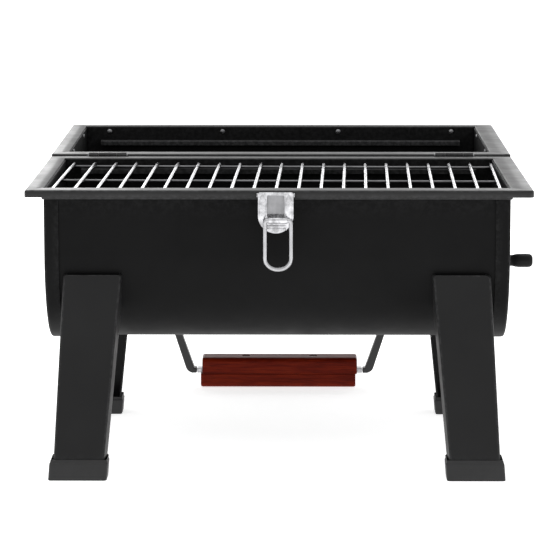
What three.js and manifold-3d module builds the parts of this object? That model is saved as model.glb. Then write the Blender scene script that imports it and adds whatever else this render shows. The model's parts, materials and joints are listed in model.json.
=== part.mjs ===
// Folding camp grill. A rounded sheet-steel firebox stands on four splayed legs. A lid of
// the same pressing is hinged along the rear rim and lies open behind the firebox, where its
// wooden carrying handle props it on the ground.
// Units are millimetres: +X right, +Y back, +Z up. The origin is on the ground, in the middle
// of the rectangle that holds the open grill.
import * as THREE from 'three';
import { mergeVertices } from 'three/addons/utils/BufferGeometryUtils.js';
import Module from 'manifold-3d';

const wasm = await Module();
wasm.setup();

// ---- Driving dimensions -------------------------------------------------------------------

const SHEET = 1.2; // steel sheet of both pans and their rims
const GAP = 0.3; // clearance between pieces that touch

// A pan is the firebox or the lid. Its own frame has z = 0 on top of the rim, halfway between
// the pan's walls.
const RIM_WIDTH = 452;
const RIM_DEPTH = 280;
const RIM_SHIFT = 2; // the rim's middle is this far right of the walls' middle
const RIM_HEIGHT = 257.2; // rim of the firebox above the ground
const RIM_CORNER = 4;
const LIP_HEIGHT = 6.5; // turned-down outer edge of the rim
const SKIRT_HEIGHT = 10; // inner edge of the rim, outside the pan's wall
const END_X = 208.5; // outer face of an end cap
const WALL_INSET = 17.9; // rim's edge to the outer face of the long walls
const PAN_DEPTH = 146.3;
const PAN_CORNER = 87; // bend between a long wall and the bottom
const END_FLANGE = 12; // end cap's edge, folded over the shell

const LEDGE_HALF_LENGTH = 192;
const LEDGE_WIDTH = 8;
const LEDGE_FACE = 5;
const FIREBOX_LEDGE_DROP = 9.2;
const LID_LEDGE_DROP = 14.7;

const ROD_PITCH = 20.2;
const ROD_COUNT = 21;
const ROD_RADIUS = 1.4;
const ROD_LENGTH = 228;
const GRATE_TOP_DROP = 3.3;
const CROSSBAR_RADIUS = 1.8;
const CROSSBAR_YS = [-111, -8, 111];
const GRATE_TURN = -1.2; // degrees: the loose grate lies a little askew
const GRATE_SHIFT = 1; // and a little to the right

const COAL_ROD_COUNT = 15;
const COAL_ROD_PITCH = 25;
const COAL_ROD_RADIUS = 2;
const COAL_ROD_LENGTH = 222; // the rods' ends rest in the bends of the pan
const COAL_GRATE_DROP = 96.3;
const COAL_CROSSBAR_Y = 80;

const LEG_TOP_DROP = 78;
const LEG_TOP_X = 165.2;
const FRONT_FOOT_X = 177.6;
const REAR_FOOT_X = 181.8; // the rear legs spread a little more
const LEG_TOP_INSET = 14; // rim's edge to the leg's face at its top
const LEG_FOOT_INSET = -24.3; // the feet stand outside the rim
const LEG_TOP_WIDTH = 52.1;
const LEG_FOOT_WIDTH = 44.4;
const LEG_TOP_DEPTH = 28;
const LEG_FOOT_DEPTH = 24;
const LEG_SHEET = 1.5;
const LEG_FLARE = 1.5; // how far each side spreads outwards
const LEG_BOLT_X = 166;
const LEG_BOLT_ANGLE = 30; // degrees round the pan's bend, below the horizontal
const LEG_BORE_RADIUS = 3.3;
const CAP_HEIGHT = 15;
const CAP_SHOULDER = 3;
const CAP_FLOOR = 3;
const CAP_WALL = 1.8;

const HINGE_GAP = 8; // between the two rims
const HINGE_RISE = 0.9; // axis above the firebox rim
const LID_RISE = 1.4; // open lid's rim above the firebox rim, at the hinge
const LID_TILT = 0.4; // degrees: the far edge of the open lid stands a little high
const HINGE_X = 170; // each hinge from the rim's middle
const HINGE_WIDTH = 37;
const KNUCKLE_RADIUS = 2.4;
const KNUCKLE_BORE = 1.4;
const HINGE_PIN_RADIUS = 1.1;
const END_KNUCKLE = 9.5;

const LATCH_X = -1;
const LATCH_WIDTH = 31.5;
const LATCH_TOP = -0.8;
const LATCH_BOTTOM = -37.3;
const LATCH_SHEET = 1.2;
const LEVER_PIN_Z = -4;
const LEVER_PIN_OUT = 3; // pin's axis in front of the rim's edge
const LEVER_PIN_RADIUS = 1.2;
const BARREL_Z = -25.5;
const BARREL_OUT = 10.8;
const BARREL_RADIUS = 2.9;
const BARREL_HALF_LENGTH = 8.4;
const RECESS_HALF_WIDTH = 7.7;
const RECESS_TOP = -3.6;
const RECESS_BOTTOM = BARREL_Z + 2.2;
const LATCH_PLATE_HALF = 13; // half widths of the base's plate and of the tongue below it
const LATCH_TONGUE_HALF = 9.5;
const LATCH_PLATE_BOTTOM = -21;
const LATCH_TONGUE_BOTTOM = -38;
const LATCH_RIVET_X = 5;
const LATCH_RIVET_Z = -33;
const BAIL_RADIUS = 1.9;
const BAIL_HALF_WIDTH = 11.5;
const BAIL_LENGTH = 43.7;
const BAIL_SHIFT = 2;
const KEEPER_WIDTH = 14;

const VENT_Z = -62;
const VENT_DISC_RADIUS = 29;
const VENT_HOLE_RADIUS = 7;
const VENT_HOLE_CIRCLE = 18;
const VENT_BORE_RADIUS = 2.8;
const VENT_KNOB_DROP = 20.6;
const VENT_KNOB_LENGTH = 28.3;

const HANDLE_Y = 4; // handle behind the middle of the open lid
const TANG_DROP = 242.8; // the grip's underside is then just above the ground
const TANG_HEIGHT = 5;
const TANG_DEPTH = 12;
const TANG_HALF_LENGTH = 86;
const GRIP_LENGTH = 161;
const GRIP_WIDTH = 30;
const GRIP_UPPER = 17;
const GRIP_LOWER = 14.2;
const GRIP_ROUND = 6; // rounding of its long edges
const SEAM_DROP = TANG_DROP + 2.2; // where the grip's halves meet, in the tang's lower part
const GRIP_SHIFT = -1.5; // lower half of the grip, a little to the left of the upper half
const GRIP_SCREW_X = 35;
const ARM_TOP_IN_X = 120.9; // edges of an arm where it leaves the lid
const ARM_TOP_OUT_X = 127.6;
const ARM_END_X = 86.4; // where it meets the tang
const ARM_END_HALF_HEIGHT = 2.7;
const HANDLE_BOLT_X = 125;
const HANDLE_BOLT_Y = 12;
const HANDLE_BORE_RADIUS = 2.8;

// ---- Worked-out dimensions ----------------------------------------------------------------

const HALF_X = RIM_WIDTH / 2;
const HALF_Y = RIM_DEPTH / 2;
const WALL_Y = HALF_Y - WALL_INSET;
const INSIDE_X = END_X - SHEET;
const INSIDE_Y = WALL_Y - SHEET;
const PAN_TOP = -SHEET - GAP;
const BEND_Y = WALL_Y - PAN_CORNER;
const BEND_Z = PAN_CORNER - PAN_DEPTH;
const SKIRT_X = END_X + SHEET + GAP + 0.1;
const SKIRT_Y = WALL_Y + 2 * SHEET + 2 * GAP;
const HINGE_Y = HALF_Y + HINGE_GAP / 2;

// ---- Helpers ------------------------------------------------------------------------------

const radians = THREE.MathUtils.degToRad;

function toSolid(geometry) {
  const bare = geometry.clone();
  bare.deleteAttribute('normal');
  bare.deleteAttribute('uv');
  const merged = mergeVertices(bare, 1e-4);
  return new wasm.Manifold(new wasm.Mesh({
    numProp: 3,
    vertProperties: new Float32Array(merged.attributes.position.array),
    triVerts: new Uint32Array(merged.index.array),
  }));
}

function toGeometry(solid) {
  const mesh = solid.getMesh();
  const geometry = new THREE.BufferGeometry();
  geometry.setAttribute('position', new THREE.BufferAttribute(mesh.vertProperties, 3));
  geometry.setIndex(new THREE.BufferAttribute(mesh.triVerts, 1));
  geometry.computeVertexNormals();
  return geometry;
}

function join(...geometries) {
  return toGeometry(geometries.map(toSolid).reduce((sum, next) => sum.add(next)));
}

function cut(geometry, ...tools) {
  const whole = toSolid(geometry);
  return toGeometry(tools.map(toSolid).reduce((rest, tool) => rest.subtract(tool), whole));
}

// A box between two corners.
function block([x0, y0, z0], [x1, y1, z1]) {
  const geometry = new THREE.BoxGeometry(x1 - x0, y1 - y0, z1 - z0);
  return geometry.translate((x0 + x1) / 2, (y0 + y1) / 2, (z0 + z1) / 2);
}

function turnFromY(axis) {
  const up = new THREE.Vector3(0, 1, 0);
  return new THREE.Quaternion().setFromUnitVectors(up, axis.clone().normalize());
}

// A round bar between two points.
function bar(from, to, radius, sides = 10) {
  const start = new THREE.Vector3(...from);
  const axis = new THREE.Vector3(...to).sub(start);
  const geometry = new THREE.CylinderGeometry(radius, radius, axis.length(), sides);
  geometry.translate(0, axis.length() / 2, 0);
  return geometry.applyQuaternion(turnFromY(axis)).translate(...from);
}

// A turned piece: profile points are [radius, height along the axis] from a point.
function turned(profile, from, axis, sides = 12) {
  const points = profile.map(([radius, height]) => new THREE.Vector2(radius, height));
  const geometry = new THREE.LatheGeometry(points, sides);
  return geometry.applyQuaternion(turnFromY(new THREE.Vector3(...axis))).translate(...from);
}

function extrude(shape, depth, curveSegments) {
  return new THREE.ExtrudeGeometry(shape, { depth, bevelEnabled: false, curveSegments });
}

// An outline drawn in (X, Y) and swept up from z0 to z1.
function sweepUp(shape, z0, z1) {
  return extrude(shape, z1 - z0, 3).translate(0, 0, z0);
}

// An outline drawn in (Y, Z) and swept along X from x0 to x1.
function sweepAlongX(shape, x0, x1) {
  const geometry = extrude(shape, x1 - x0, 12);
  geometry.applyMatrix4(new THREE.Matrix4().set(0, 0, 1, x0, 1, 0, 0, 0, 0, 1, 0, 0, 0, 0, 0, 1));
  return geometry;
}

// An outline drawn in (X, Z) and swept along Y from y0 to y1.
function sweepAlongY(shape, y0, y1) {
  const geometry = extrude(shape, y1 - y0, 8);
  geometry.applyMatrix4(new THREE.Matrix4().set(1, 0, 0, 0, 0, 0, -1, y1, 0, 1, 0, 0, 0, 0, 0, 1));
  return geometry;
}

// A round wire through corner points, each corner rounded by the same bend.
function wire(corners, radius, bend, steps) {
  const points = corners.map((corner) => new THREE.Vector3(...corner));
  const path = new THREE.CurvePath();
  let start = points[0];
  for (let i = 1; i < points.length - 1; i += 1) {
    const before = points[i].clone().add(points[i - 1].clone().sub(points[i]).setLength(bend));
    const after = points[i].clone().add(points[i + 1].clone().sub(points[i]).setLength(bend));
    path.add(new THREE.LineCurve3(start, before));
    path.add(new THREE.QuadraticBezierCurve3(before, points[i], after));
    start = after;
  }
  path.add(new THREE.LineCurve3(start, points.at(-1)));
  const section = new THREE.Shape().absarc(0, 0, radius, 0, 2 * Math.PI);
  return new THREE.ExtrudeGeometry(section, { extrudePath: path, steps, curveSegments: 4 });
}

function rectangle(halfX, halfY, corner) {
  const shape = new THREE.Shape();
  shape.absarc(halfX - corner, halfY - corner, corner, 0, Math.PI / 2);
  shape.absarc(corner - halfX, halfY - corner, corner, Math.PI / 2, Math.PI);
  shape.absarc(corner - halfX, corner - halfY, corner, Math.PI, 1.5 * Math.PI);
  shape.absarc(halfX - corner, corner - halfY, corner, 1.5 * Math.PI, 2 * Math.PI);
  return shape;
}

const MATERIALS = {
  enamel: { color: 0x1c1c1d, roughness: 0.55, metalness: 0.1 },
  chrome: { color: 0xd4d6d8, roughness: 0.18, metalness: 1 },
  zinc: { color: 0xb9bcc0, roughness: 0.35, metalness: 1 },
  wood: { color: 0x571a10, roughness: 0.35, metalness: 0 },
  plastic: { color: 0x17171a, roughness: 0.45, metalness: 0 },
};

function part(name, geometry, material) {
  const mesh = new THREE.Mesh(geometry, new THREE.MeshStandardMaterial(MATERIALS[material]));
  mesh.name = name;
  return mesh;
}

// ---- Pans ---------------------------------------------------------------------------------

// The pan's cross-section, grown outwards by an offset, as a solid outline in (Y, Z).
function panOutline(offset, top) {
  const radius = PAN_CORNER + offset;
  const shape = new THREE.Shape();
  shape.moveTo(WALL_Y + offset, top);
  shape.lineTo(-WALL_Y - offset, top);
  shape.absarc(-BEND_Y, BEND_Z, radius, Math.PI, 1.5 * Math.PI);
  shape.absarc(BEND_Y, BEND_Z, radius, 1.5 * Math.PI, 2 * Math.PI);
  return shape;
}

function panShell(holes) {
  const outer = sweepAlongX(panOutline(0, PAN_TOP), GAP - INSIDE_X, INSIDE_X - GAP);
  const inner = sweepAlongX(panOutline(-SHEET, 1), -HALF_X, HALF_X);
  return cut(outer, inner, ...holes);
}

// An end cap is one pressing, made here as two solids: its flat plate, and the edge of it that
// is folded over the shell.
function endPlate(side, holes) {
  const plate = cut(sweepAlongX(panOutline(GAP + SHEET, PAN_TOP), INSIDE_X, END_X), ...holes);
  return side > 0 ? plate : plate.rotateZ(Math.PI);
}

function endFold(side) {
  const free = INSIDE_X - END_FLANGE;
  const outer = sweepAlongX(panOutline(GAP + SHEET, PAN_TOP), free, INSIDE_X - GAP);
  const inner = sweepAlongX(panOutline(GAP, 1), free - 1, INSIDE_X);
  const fold = cut(outer, inner);
  return side > 0 ? fold : fold.rotateZ(Math.PI);
}

function rim() {
  const layer = (halfX, halfY, corner, z0, z1) => sweepUp(rectangle(halfX, halfY, corner), z0, z1);
  const outside = layer(HALF_X, HALF_Y, RIM_CORNER, -LIP_HEIGHT, 0);
  const under = layer(HALF_X - SHEET, HALF_Y - SHEET, RIM_CORNER - SHEET, -LIP_HEIGHT - 1, -SHEET);
  const flange = cut(outside, under).translate(RIM_SHIFT, 0, 0);
  const skirt = layer(SKIRT_X, SKIRT_Y, 2, -SKIRT_HEIGHT, -SHEET / 2);
  const inside = layer(SKIRT_X - SHEET, SKIRT_Y - SHEET, 1, -SKIRT_HEIGHT - 1, -SHEET);
  const mouth = layer(END_X, INSIDE_Y, 1, -2 * SHEET, 1);
  return cut(join(flange, skirt), inside, mouth);
}

// An angle strip along a long wall that carries a grate's crossbars.
function ledge(side, drop) {
  const wall = INSIDE_Y - GAP;
  const free = wall - LEDGE_WIDTH;
  const shape = new THREE.Shape();
  shape.moveTo(free, -drop - LEDGE_FACE);
  shape.lineTo(free + SHEET, -drop - LEDGE_FACE);
  shape.lineTo(free + SHEET, -drop - SHEET);
  shape.lineTo(wall, -drop - SHEET);
  shape.lineTo(wall, -drop);
  shape.lineTo(free, -drop);
  const strip = sweepAlongX(shape, -LEDGE_HALF_LENGTH, LEDGE_HALF_LENGTH);
  return side > 0 ? strip : strip.rotateZ(Math.PI);
}

function pan(name, ledgeDrop, shellHoles, rightEndHoles) {
  return [
    part(`${name}_shell`, panShell(shellHoles), 'enamel'),
    part(`${name}_end_left`, endPlate(-1, []), 'enamel'),
    part(`${name}_end_left_fold`, endFold(-1), 'enamel'),
    part(`${name}_end_right`, endPlate(1, rightEndHoles), 'enamel'),
    part(`${name}_end_right_fold`, endFold(1), 'enamel'),
    part(`${name}_rim`, rim(), 'enamel'),
    part(`${name}_ledge_front`, ledge(-1, ledgeDrop), 'enamel'),
    part(`${name}_ledge_rear`, ledge(1, ledgeDrop), 'enamel'),
  ];
}

// ---- Grates -------------------------------------------------------------------------------

// Rods along Y over crossbars along X, welded into one piece. The rods' axes are at rodZ.
function grate({ count, pitch, length, rodZ, rodRadius, crossbarZ, crossbarRadius, crossbarYs }) {
  const sides = 6;
  const span = ((count - 1) * pitch) / 2;
  const reach = span + rodRadius;
  const pieces = [];
  for (let i = 0; i < count; i += 1) {
    const x = i * pitch - span;
    pieces.push(bar([x, -length / 2, rodZ], [x, length / 2, rodZ], rodRadius, sides));
  }
  for (const y of crossbarYs) {
    pieces.push(bar([-reach, y, crossbarZ], [reach, y, crossbarZ], crossbarRadius, sides));
  }
  return join(...pieces);
}

function cookingGrate() {
  const geometry = grate({
    count: ROD_COUNT,
    pitch: ROD_PITCH,
    length: ROD_LENGTH,
    rodZ: -GRATE_TOP_DROP - ROD_RADIUS,
    rodRadius: ROD_RADIUS,
    crossbarZ: GAP - FIREBOX_LEDGE_DROP + CROSSBAR_RADIUS,
    crossbarRadius: CROSSBAR_RADIUS,
    crossbarYs: CROSSBAR_YS,
  });
  geometry.rotateZ(radians(GRATE_TURN)).translate(GRATE_SHIFT, 0, 0);
  return part('cooking_grate', geometry, 'chrome');
}

function charcoalGrate() {
  const geometry = grate({
    count: COAL_ROD_COUNT,
    pitch: COAL_ROD_PITCH,
    length: COAL_ROD_LENGTH,
    rodZ: -COAL_GRATE_DROP,
    rodRadius: COAL_ROD_RADIUS,
    crossbarZ: -COAL_GRATE_DROP - 1.7 * COAL_ROD_RADIUS,
    crossbarRadius: COAL_ROD_RADIUS,
    crossbarYs: [-COAL_CROSSBAR_Y, 0, COAL_CROSSBAR_Y],
  });
  return part('charcoal_grate', geometry, 'enamel');
}

// ---- Legs ---------------------------------------------------------------------------------

// Bends a piece drawn upright at the origin into a leg's taper and splay, at front right.
// Heights are in the firebox pan's frame, and widths are measured against the leg's top.
function splay(geometry, footX, taper) {
  const position = geometry.attributes.position;
  for (let i = 0; i < position.count; i += 1) {
    const z = position.getZ(i);
    const down = (-LEG_TOP_DROP - z) / (RIM_HEIGHT - LEG_TOP_DROP);
    const widen = taper ? 1 + down * (LEG_FOOT_WIDTH / LEG_TOP_WIDTH - 1) : 1;
    const deepen = taper ? 1 + down * (LEG_FOOT_DEPTH / LEG_TOP_DEPTH - 1) : 1;
    const x = LEG_TOP_X + down * (footX - LEG_TOP_X);
    const y = LEG_TOP_INSET + down * (LEG_FOOT_INSET - LEG_TOP_INSET) - HALF_Y;
    position.setXYZ(i, x + position.getX(i) * widen, y + position.getY(i) * deepen, z);
  }
  return geometry;
}

// Direction and place of a leg's bolt, square to the pan's bend at front right.
function legBoltAxis() {
  const angle = radians(LEG_BOLT_ANGLE);
  const outwards = new THREE.Vector3(0, -Math.cos(angle), -Math.sin(angle));
  const surface = new THREE.Vector3(LEG_BOLT_X, -BEND_Y, BEND_Z);
  surface.addScaledVector(outwards, PAN_CORNER);
  return { outwards, surface };
}

function alongBolt(distance) {
  const { outwards, surface } = legBoltAxis();
  return surface.clone().addScaledVector(outwards, distance).toArray();
}

function leg(footX) {
  const half = LEG_TOP_WIDTH / 2;
  const shape = new THREE.Shape();
  shape.moveTo(-half, 0);
  shape.lineTo(half, 0);
  shape.lineTo(half + LEG_FLARE, LEG_TOP_DEPTH);
  shape.lineTo(half + LEG_FLARE - LEG_SHEET, LEG_TOP_DEPTH);
  shape.lineTo(half - LEG_SHEET, LEG_SHEET);
  shape.lineTo(LEG_SHEET - half, LEG_SHEET);
  shape.lineTo(LEG_SHEET - half - LEG_FLARE, LEG_TOP_DEPTH);
  shape.lineTo(-half - LEG_FLARE, LEG_TOP_DEPTH);
  const upright = sweepUp(shape, CAP_FLOOR + GAP - RIM_HEIGHT, -LEG_TOP_DROP);
  const channel = splay(upright, footX, true);
  const tabX = LEG_TOP_WIDTH / 2 - 0.6;
  const tab = block([-tabX, GAP, -11], [tabX, GAP + LEG_SHEET, 11]);
  tab.rotateX(radians(LEG_BOLT_ANGLE) + Math.PI).translate(...alongBolt(0));
  const bore = bar(alongBolt(-5), alongBolt(9), LEG_BORE_RADIUS);
  const body = sweepAlongX(panOutline(GAP, 20), 0, HALF_X);
  return cut(join(channel, tab), body, bore);
}

// Cup-shaped cap, stepped at its mouth, that the bottom of a leg stands in.
function footCap(footX) {
  const mouth = CAP_HEIGHT + CAP_SHOULDER;
  const down = 1 - mouth / (RIM_HEIGHT - LEG_TOP_DROP);
  const widthAtMouth = LEG_TOP_WIDTH + down * (LEG_FOOT_WIDTH - LEG_TOP_WIDTH);
  const depthAtMouth = LEG_TOP_DEPTH + down * (LEG_FOOT_DEPTH - LEG_TOP_DEPTH);
  const pocketX = widthAtMouth / 2 + LEG_FLARE + GAP;
  const pocketY = depthAtMouth / 2 + GAP;
  const outline = rectangle(pocketX + CAP_WALL, pocketY + CAP_WALL, 3);
  const collar = rectangle(pocketX + CAP_WALL / 2, pocketY + CAP_WALL / 2, 2);
  const pocket = sweepUp(rectangle(pocketX, pocketY, 0.5), CAP_FLOOR, mouth + 1);
  const cap = cut(join(sweepUp(outline, 0, CAP_HEIGHT), sweepUp(collar, 0, mouth)), pocket);
  return splay(cap.translate(0, depthAtMouth / 2, -RIM_HEIGHT), footX, false);
}

// Bolt and nut of one leg: the round head is inside the firebox.
function legBolt() {
  const { outwards } = legBoltAxis();
  const inside = -SHEET - GAP;
  const nut = GAP + LEG_SHEET + 2 * GAP;
  const headProfile = [[0, -3], [4, -2.4], [6, -1], [6.6, 0], [3, 0], [3, 10], [0, 10]];
  const nutProfile = [[0, 0], [5.6, 0], [5.6, 4.6], [0, 4.6]];
  const head = turned(headProfile, alongBolt(inside), outwards.toArray());
  const hexagon = turned(nutProfile, alongBolt(nut), outwards.toArray(), 6);
  return join(head, hexagon);
}

// Copies a front-right piece to one of the four corners.
function atCorner(geometry, right, front) {
  if (right && front) return geometry;
  if (!right && !front) return geometry.clone().rotateZ(Math.PI);
  const mirrored = geometry.index ? geometry.toNonIndexed() : geometry.clone();
  mirrored.scale(right ? 1 : -1, right ? -1 : 1, 1);
  const position = mirrored.attributes.position;
  const corner = new THREE.Vector3();
  const other = new THREE.Vector3();
  for (let i = 0; i < position.count; i += 3) {
    corner.fromBufferAttribute(position, i);
    other.fromBufferAttribute(position, i + 2);
    position.setXYZ(i, other.x, other.y, other.z);
    position.setXYZ(i + 2, corner.x, corner.y, corner.z);
  }
  mirrored.computeVertexNormals();
  return mirrored;
}

const CORNERS = [
  ['front_left', false, true],
  ['front_right', true, true],
  ['rear_left', false, false],
  ['rear_right', true, false],
];

function legs() {
  return CORNERS.flatMap(([corner, right, front]) => {
    const footX = front ? FRONT_FOOT_X : REAR_FOOT_X;
    return [
      part(`leg_${corner}`, atCorner(leg(footX), right, front), 'enamel'),
      part(`foot_cap_${corner}`, atCorner(footCap(footX), right, front), 'plastic'),
      part(`leg_bolt_${corner}`, atCorner(legBolt(), right, front), 'zinc'),
    ];
  });
}

function legBoltHoles() {
  const bore = bar(alongBolt(-5), alongBolt(5), LEG_BORE_RADIUS);
  return CORNERS.map(([, right, front]) => atCorner(bore, right, front));
}

// ---- Hinges -------------------------------------------------------------------------------

// One leaf, drawn about the pin's axis: it stands on the rim's lip at the side given, down
// from the axis, and its knuckles lie between the x pairs given.
function hingeLeaf(side, knuckles) {
  const face = HINGE_GAP / 2 - GAP;
  const back = face - 1;
  const low = Math.min(side * face, side * back);
  const pieces = [
    block(
      [-HINGE_WIDTH / 2, low, -LIP_HEIGHT - 0.6],
      [HINGE_WIDTH / 2, low + 1, -HINGE_RISE - 0.2],
    ),
  ];
  for (const [x0, x1] of knuckles) {
    const inner = side * (KNUCKLE_RADIUS - 0.8);
    const outer = side * face;
    const front = Math.min(inner, outer);
    const rear = Math.max(inner, outer);
    pieces.push(block([x0, front, -HINGE_RISE - 1], [x1, rear, 0.7]));
    pieces.push(bar([x0, 0, 0], [x1, 0, 0], KNUCKLE_RADIUS, 14));
  }
  return cut(join(...pieces), bar([-HINGE_WIDTH, 0, 0], [HINGE_WIDTH, 0, 0], KNUCKLE_BORE, 14));
}

const OUTER_KNUCKLES = [
  [-HINGE_WIDTH / 2, END_KNUCKLE - HINGE_WIDTH / 2],
  [HINGE_WIDTH / 2 - END_KNUCKLE, HINGE_WIDTH / 2],
];
const MIDDLE_KNUCKLE = [
  [END_KNUCKLE + GAP - HINGE_WIDTH / 2, HINGE_WIDTH / 2 - END_KNUCKLE - GAP],
];

function hingePin() {
  const end = HINGE_WIDTH / 2 + GAP;
  const head = 0.8;
  const profile = [
    [0, 0],
    [1.9, 0],
    [1.9, head],
    [HINGE_PIN_RADIUS, head],
    [HINGE_PIN_RADIUS, 2 * (end + head)],
    [0, 2 * (end + head)],
  ];
  return turned(profile, [-end - head, 0, 0], [1, 0, 0]);
}

// ---- Latch --------------------------------------------------------------------------------

// Latch pieces are drawn with y = 0 on the front of the rim's lip and x = 0 on the latch.
const LATCH_BACK = WALL_INSET - GAP;

function leverPinBore() {
  const [y, z] = [-LEVER_PIN_OUT, LEVER_PIN_Z];
  return bar([-LATCH_WIDTH, y, z], [LATCH_WIDTH, y, z], LEVER_PIN_RADIUS + GAP, 14);
}

function latchBase() {
  const half = LATCH_PLATE_HALF;
  const tongue = LATCH_TONGUE_HALF;
  const low = LATCH_PLATE_BOTTOM;
  const cheek = (x0, x1) => join(
    block([x0, -5.5, low], [x1, -GAP - 0.4, -1.4]),
    block([x0, -5.5, low], [x1, LATCH_BACK, -10.6]),
  );
  const base = join(
    block([-half, -6, low + 0.7], [half, -5, -1.4]),
    block([-half, LATCH_BACK - LATCH_SHEET, low], [half, LATCH_BACK, low + 10]),
    block([-tongue, LATCH_BACK - LATCH_SHEET, LATCH_TONGUE_BOTTOM], [tongue, LATCH_BACK, low + 1]),
    cheek(-half, 1 - half),
    cheek(half - 1, half),
  );
  return cut(base, leverPinBore(), ...latchRivetHoles());
}

function latchRivetHoles() {
  return [-LATCH_RIVET_X, LATCH_RIVET_X].map((x) => (
    bar([x, LATCH_BACK - 4, LATCH_RIVET_Z], [x, LATCH_BACK + 4, LATCH_RIVET_Z], 2.3, 12)
  ));
}

function latchRivet(x) {
  const grip = SHEET + 3 * GAP + LATCH_SHEET;
  const profile = [
    [0, -2],
    [2.4, -1.6],
    [4, 0],
    [2, 0],
    [2, grip],
    [3.4, grip],
    [2.4, grip + 1.3],
    [0, grip + 1.7],
  ];
  return turned(profile, [x, LATCH_BACK - LATCH_SHEET - GAP, LATCH_RIVET_Z], [0, 1, 0]);
}

function latchLever() {
  const half = LATCH_WIDTH / 2;
  const face = new THREE.Shape();
  face.moveTo(half, LATCH_TOP);
  face.lineTo(-half, LATCH_TOP);
  face.lineTo(-half, LATCH_BOTTOM + half);
  face.absarc(0, LATCH_BOTTOM + half, half, Math.PI, 2 * Math.PI);
  const recess = new THREE.Path();
  recess.moveTo(-RECESS_HALF_WIDTH, RECESS_TOP);
  recess.lineTo(RECESS_HALF_WIDTH, RECESS_TOP);
  recess.lineTo(RECESS_HALF_WIDTH, RECESS_BOTTOM);
  recess.lineTo(-RECESS_HALF_WIDTH, RECESS_BOTTOM);
  face.holes.push(recess);
  const plateBack = -7.4;
  const side = (x0, x1) => block([x0, plateBack - 0.6, -24], [x1, -1.4, -2.4]);
  const barrel = (halfLength, radius, sides) => bar(
    [BAIL_SHIFT - halfLength, -BARREL_OUT, BARREL_Z],
    [BAIL_SHIFT + halfLength, -BARREL_OUT, BARREL_Z],
    radius,
    sides,
  );
  const lever = join(
    sweepAlongY(face, plateBack - LATCH_SHEET, plateBack),
    side(-half, LATCH_SHEET - half),
    side(half - LATCH_SHEET, half),
    barrel(BARREL_HALF_LENGTH, BARREL_RADIUS, 16),
  );
  return cut(lever, leverPinBore(), barrel(BARREL_HALF_LENGTH + 3, BAIL_RADIUS + 0.25, 14));
}

function latchPin() {
  const end = LATCH_WIDTH / 2 + GAP;
  const profile = [
    [0, 0],
    [2, 0],
    [2, 1],
    [LEVER_PIN_RADIUS, 1],
    [LEVER_PIN_RADIUS, 1 + 2 * end],
    [2, 1 + 2 * end],
    [2, 2 + 2 * end],
    [0, 2 + 2 * end],
  ];
  return turned(profile, [-end - 1, -LEVER_PIN_OUT, LEVER_PIN_Z], [1, 0, 0]);
}

// Wire loop that hangs from the barrel, its ends turned in.
function latchBail() {
  const y = -BARREL_OUT;
  const tip = BARREL_Z - BAIL_LENGTH;
  const arm = (side) => [
    [BAIL_SHIFT + side * 5, y, BARREL_Z],
    [BAIL_SHIFT + side * BAIL_HALF_WIDTH, y, BARREL_Z],
    [BAIL_SHIFT + side * BAIL_HALF_WIDTH, y, tip + 9],
    [BAIL_SHIFT + side * (BAIL_HALF_WIDTH - 2.8), y, tip + 2.8],
    [BAIL_SHIFT + side * (BAIL_HALF_WIDTH - 8), y, tip],
  ];
  return wire([...arm(-1), ...arm(1).reverse()], BAIL_RADIUS, 2.4, 52);
}

// Hook on the lid that the bail pulls on. It is drawn with y = 0 on the lip, outwards +Y.
function latchKeeper() {
  const half = KEEPER_WIDTH / 2;
  const wall = GAP - WALL_INSET;
  return join(
    block([-half, wall, -34], [half, wall + LATCH_SHEET, -15.6]),
    block([-half, wall, -17], [half, 7, -15.8]),
    block([-half, 5.8, -20.6], [half, 7, -15.8]),
  );
}

// ---- Vent ---------------------------------------------------------------------------------

// Vent pieces are drawn about the vent's axis, with x = 0 on the outer face of the end cap.
function ventHoles(x0, x1) {
  return [90, 210, 330].map((angle) => {
    const y = VENT_HOLE_CIRCLE * Math.cos(radians(angle));
    const z = VENT_HOLE_CIRCLE * Math.sin(radians(angle));
    return bar([x0, y, z], [x1, y, z], VENT_HOLE_RADIUS, 12);
  });
}

function ventDisc() {
  const disc = bar([GAP, 0, 0], [GAP + 1.2, 0, 0], VENT_DISC_RADIUS, 28);
  return cut(disc, bar([-1, 0, 0], [3, 0, 0], VENT_BORE_RADIUS, 14), ...ventHoles(-1, 3));
}

function ventRivet() {
  const profile = [
    [0, 0],
    [4.5, 0],
    [4.5, 1],
    [2.5, 1],
    [2.5, 4.4],
    [5, 4.4],
    [4.2, 5.8],
    [2, 6.6],
    [0, 6.8],
  ];
  return turned(profile, [-SHEET - GAP - 1, 0, 0], [1, 0, 0], 16);
}

function ventKnob() {
  const length = VENT_KNOB_LENGTH;
  const profile = [
    [0, 0],
    [5.4, 0],
    [5.4, 2.4],
    [5.2, 4],
    [5.2, 8.6],
    [6.1, 12.5],
    [6.4, length - 4.5],
    [5.4, length - 1.4],
    [3.6, length],
    [0, length],
  ];
  return turned(profile, [2 * GAP + 1.2, 0, -VENT_KNOB_DROP], [1, 0, 0], 16);
}

// ---- Handle -------------------------------------------------------------------------------

// Handle pieces are drawn in the lid pan's frame, about the handle's own middle.
const CROWN = -PAN_DEPTH;

// Bores for the two bolts of one arm, drawn about the handle's own middle.
function handleBores(x) {
  return [-HANDLE_BOLT_Y, HANDLE_BOLT_Y].map((y) => (
    bar([x, y, CROWN - 5], [x, y, CROWN + 5], HANDLE_BORE_RADIUS)
  ));
}

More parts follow.
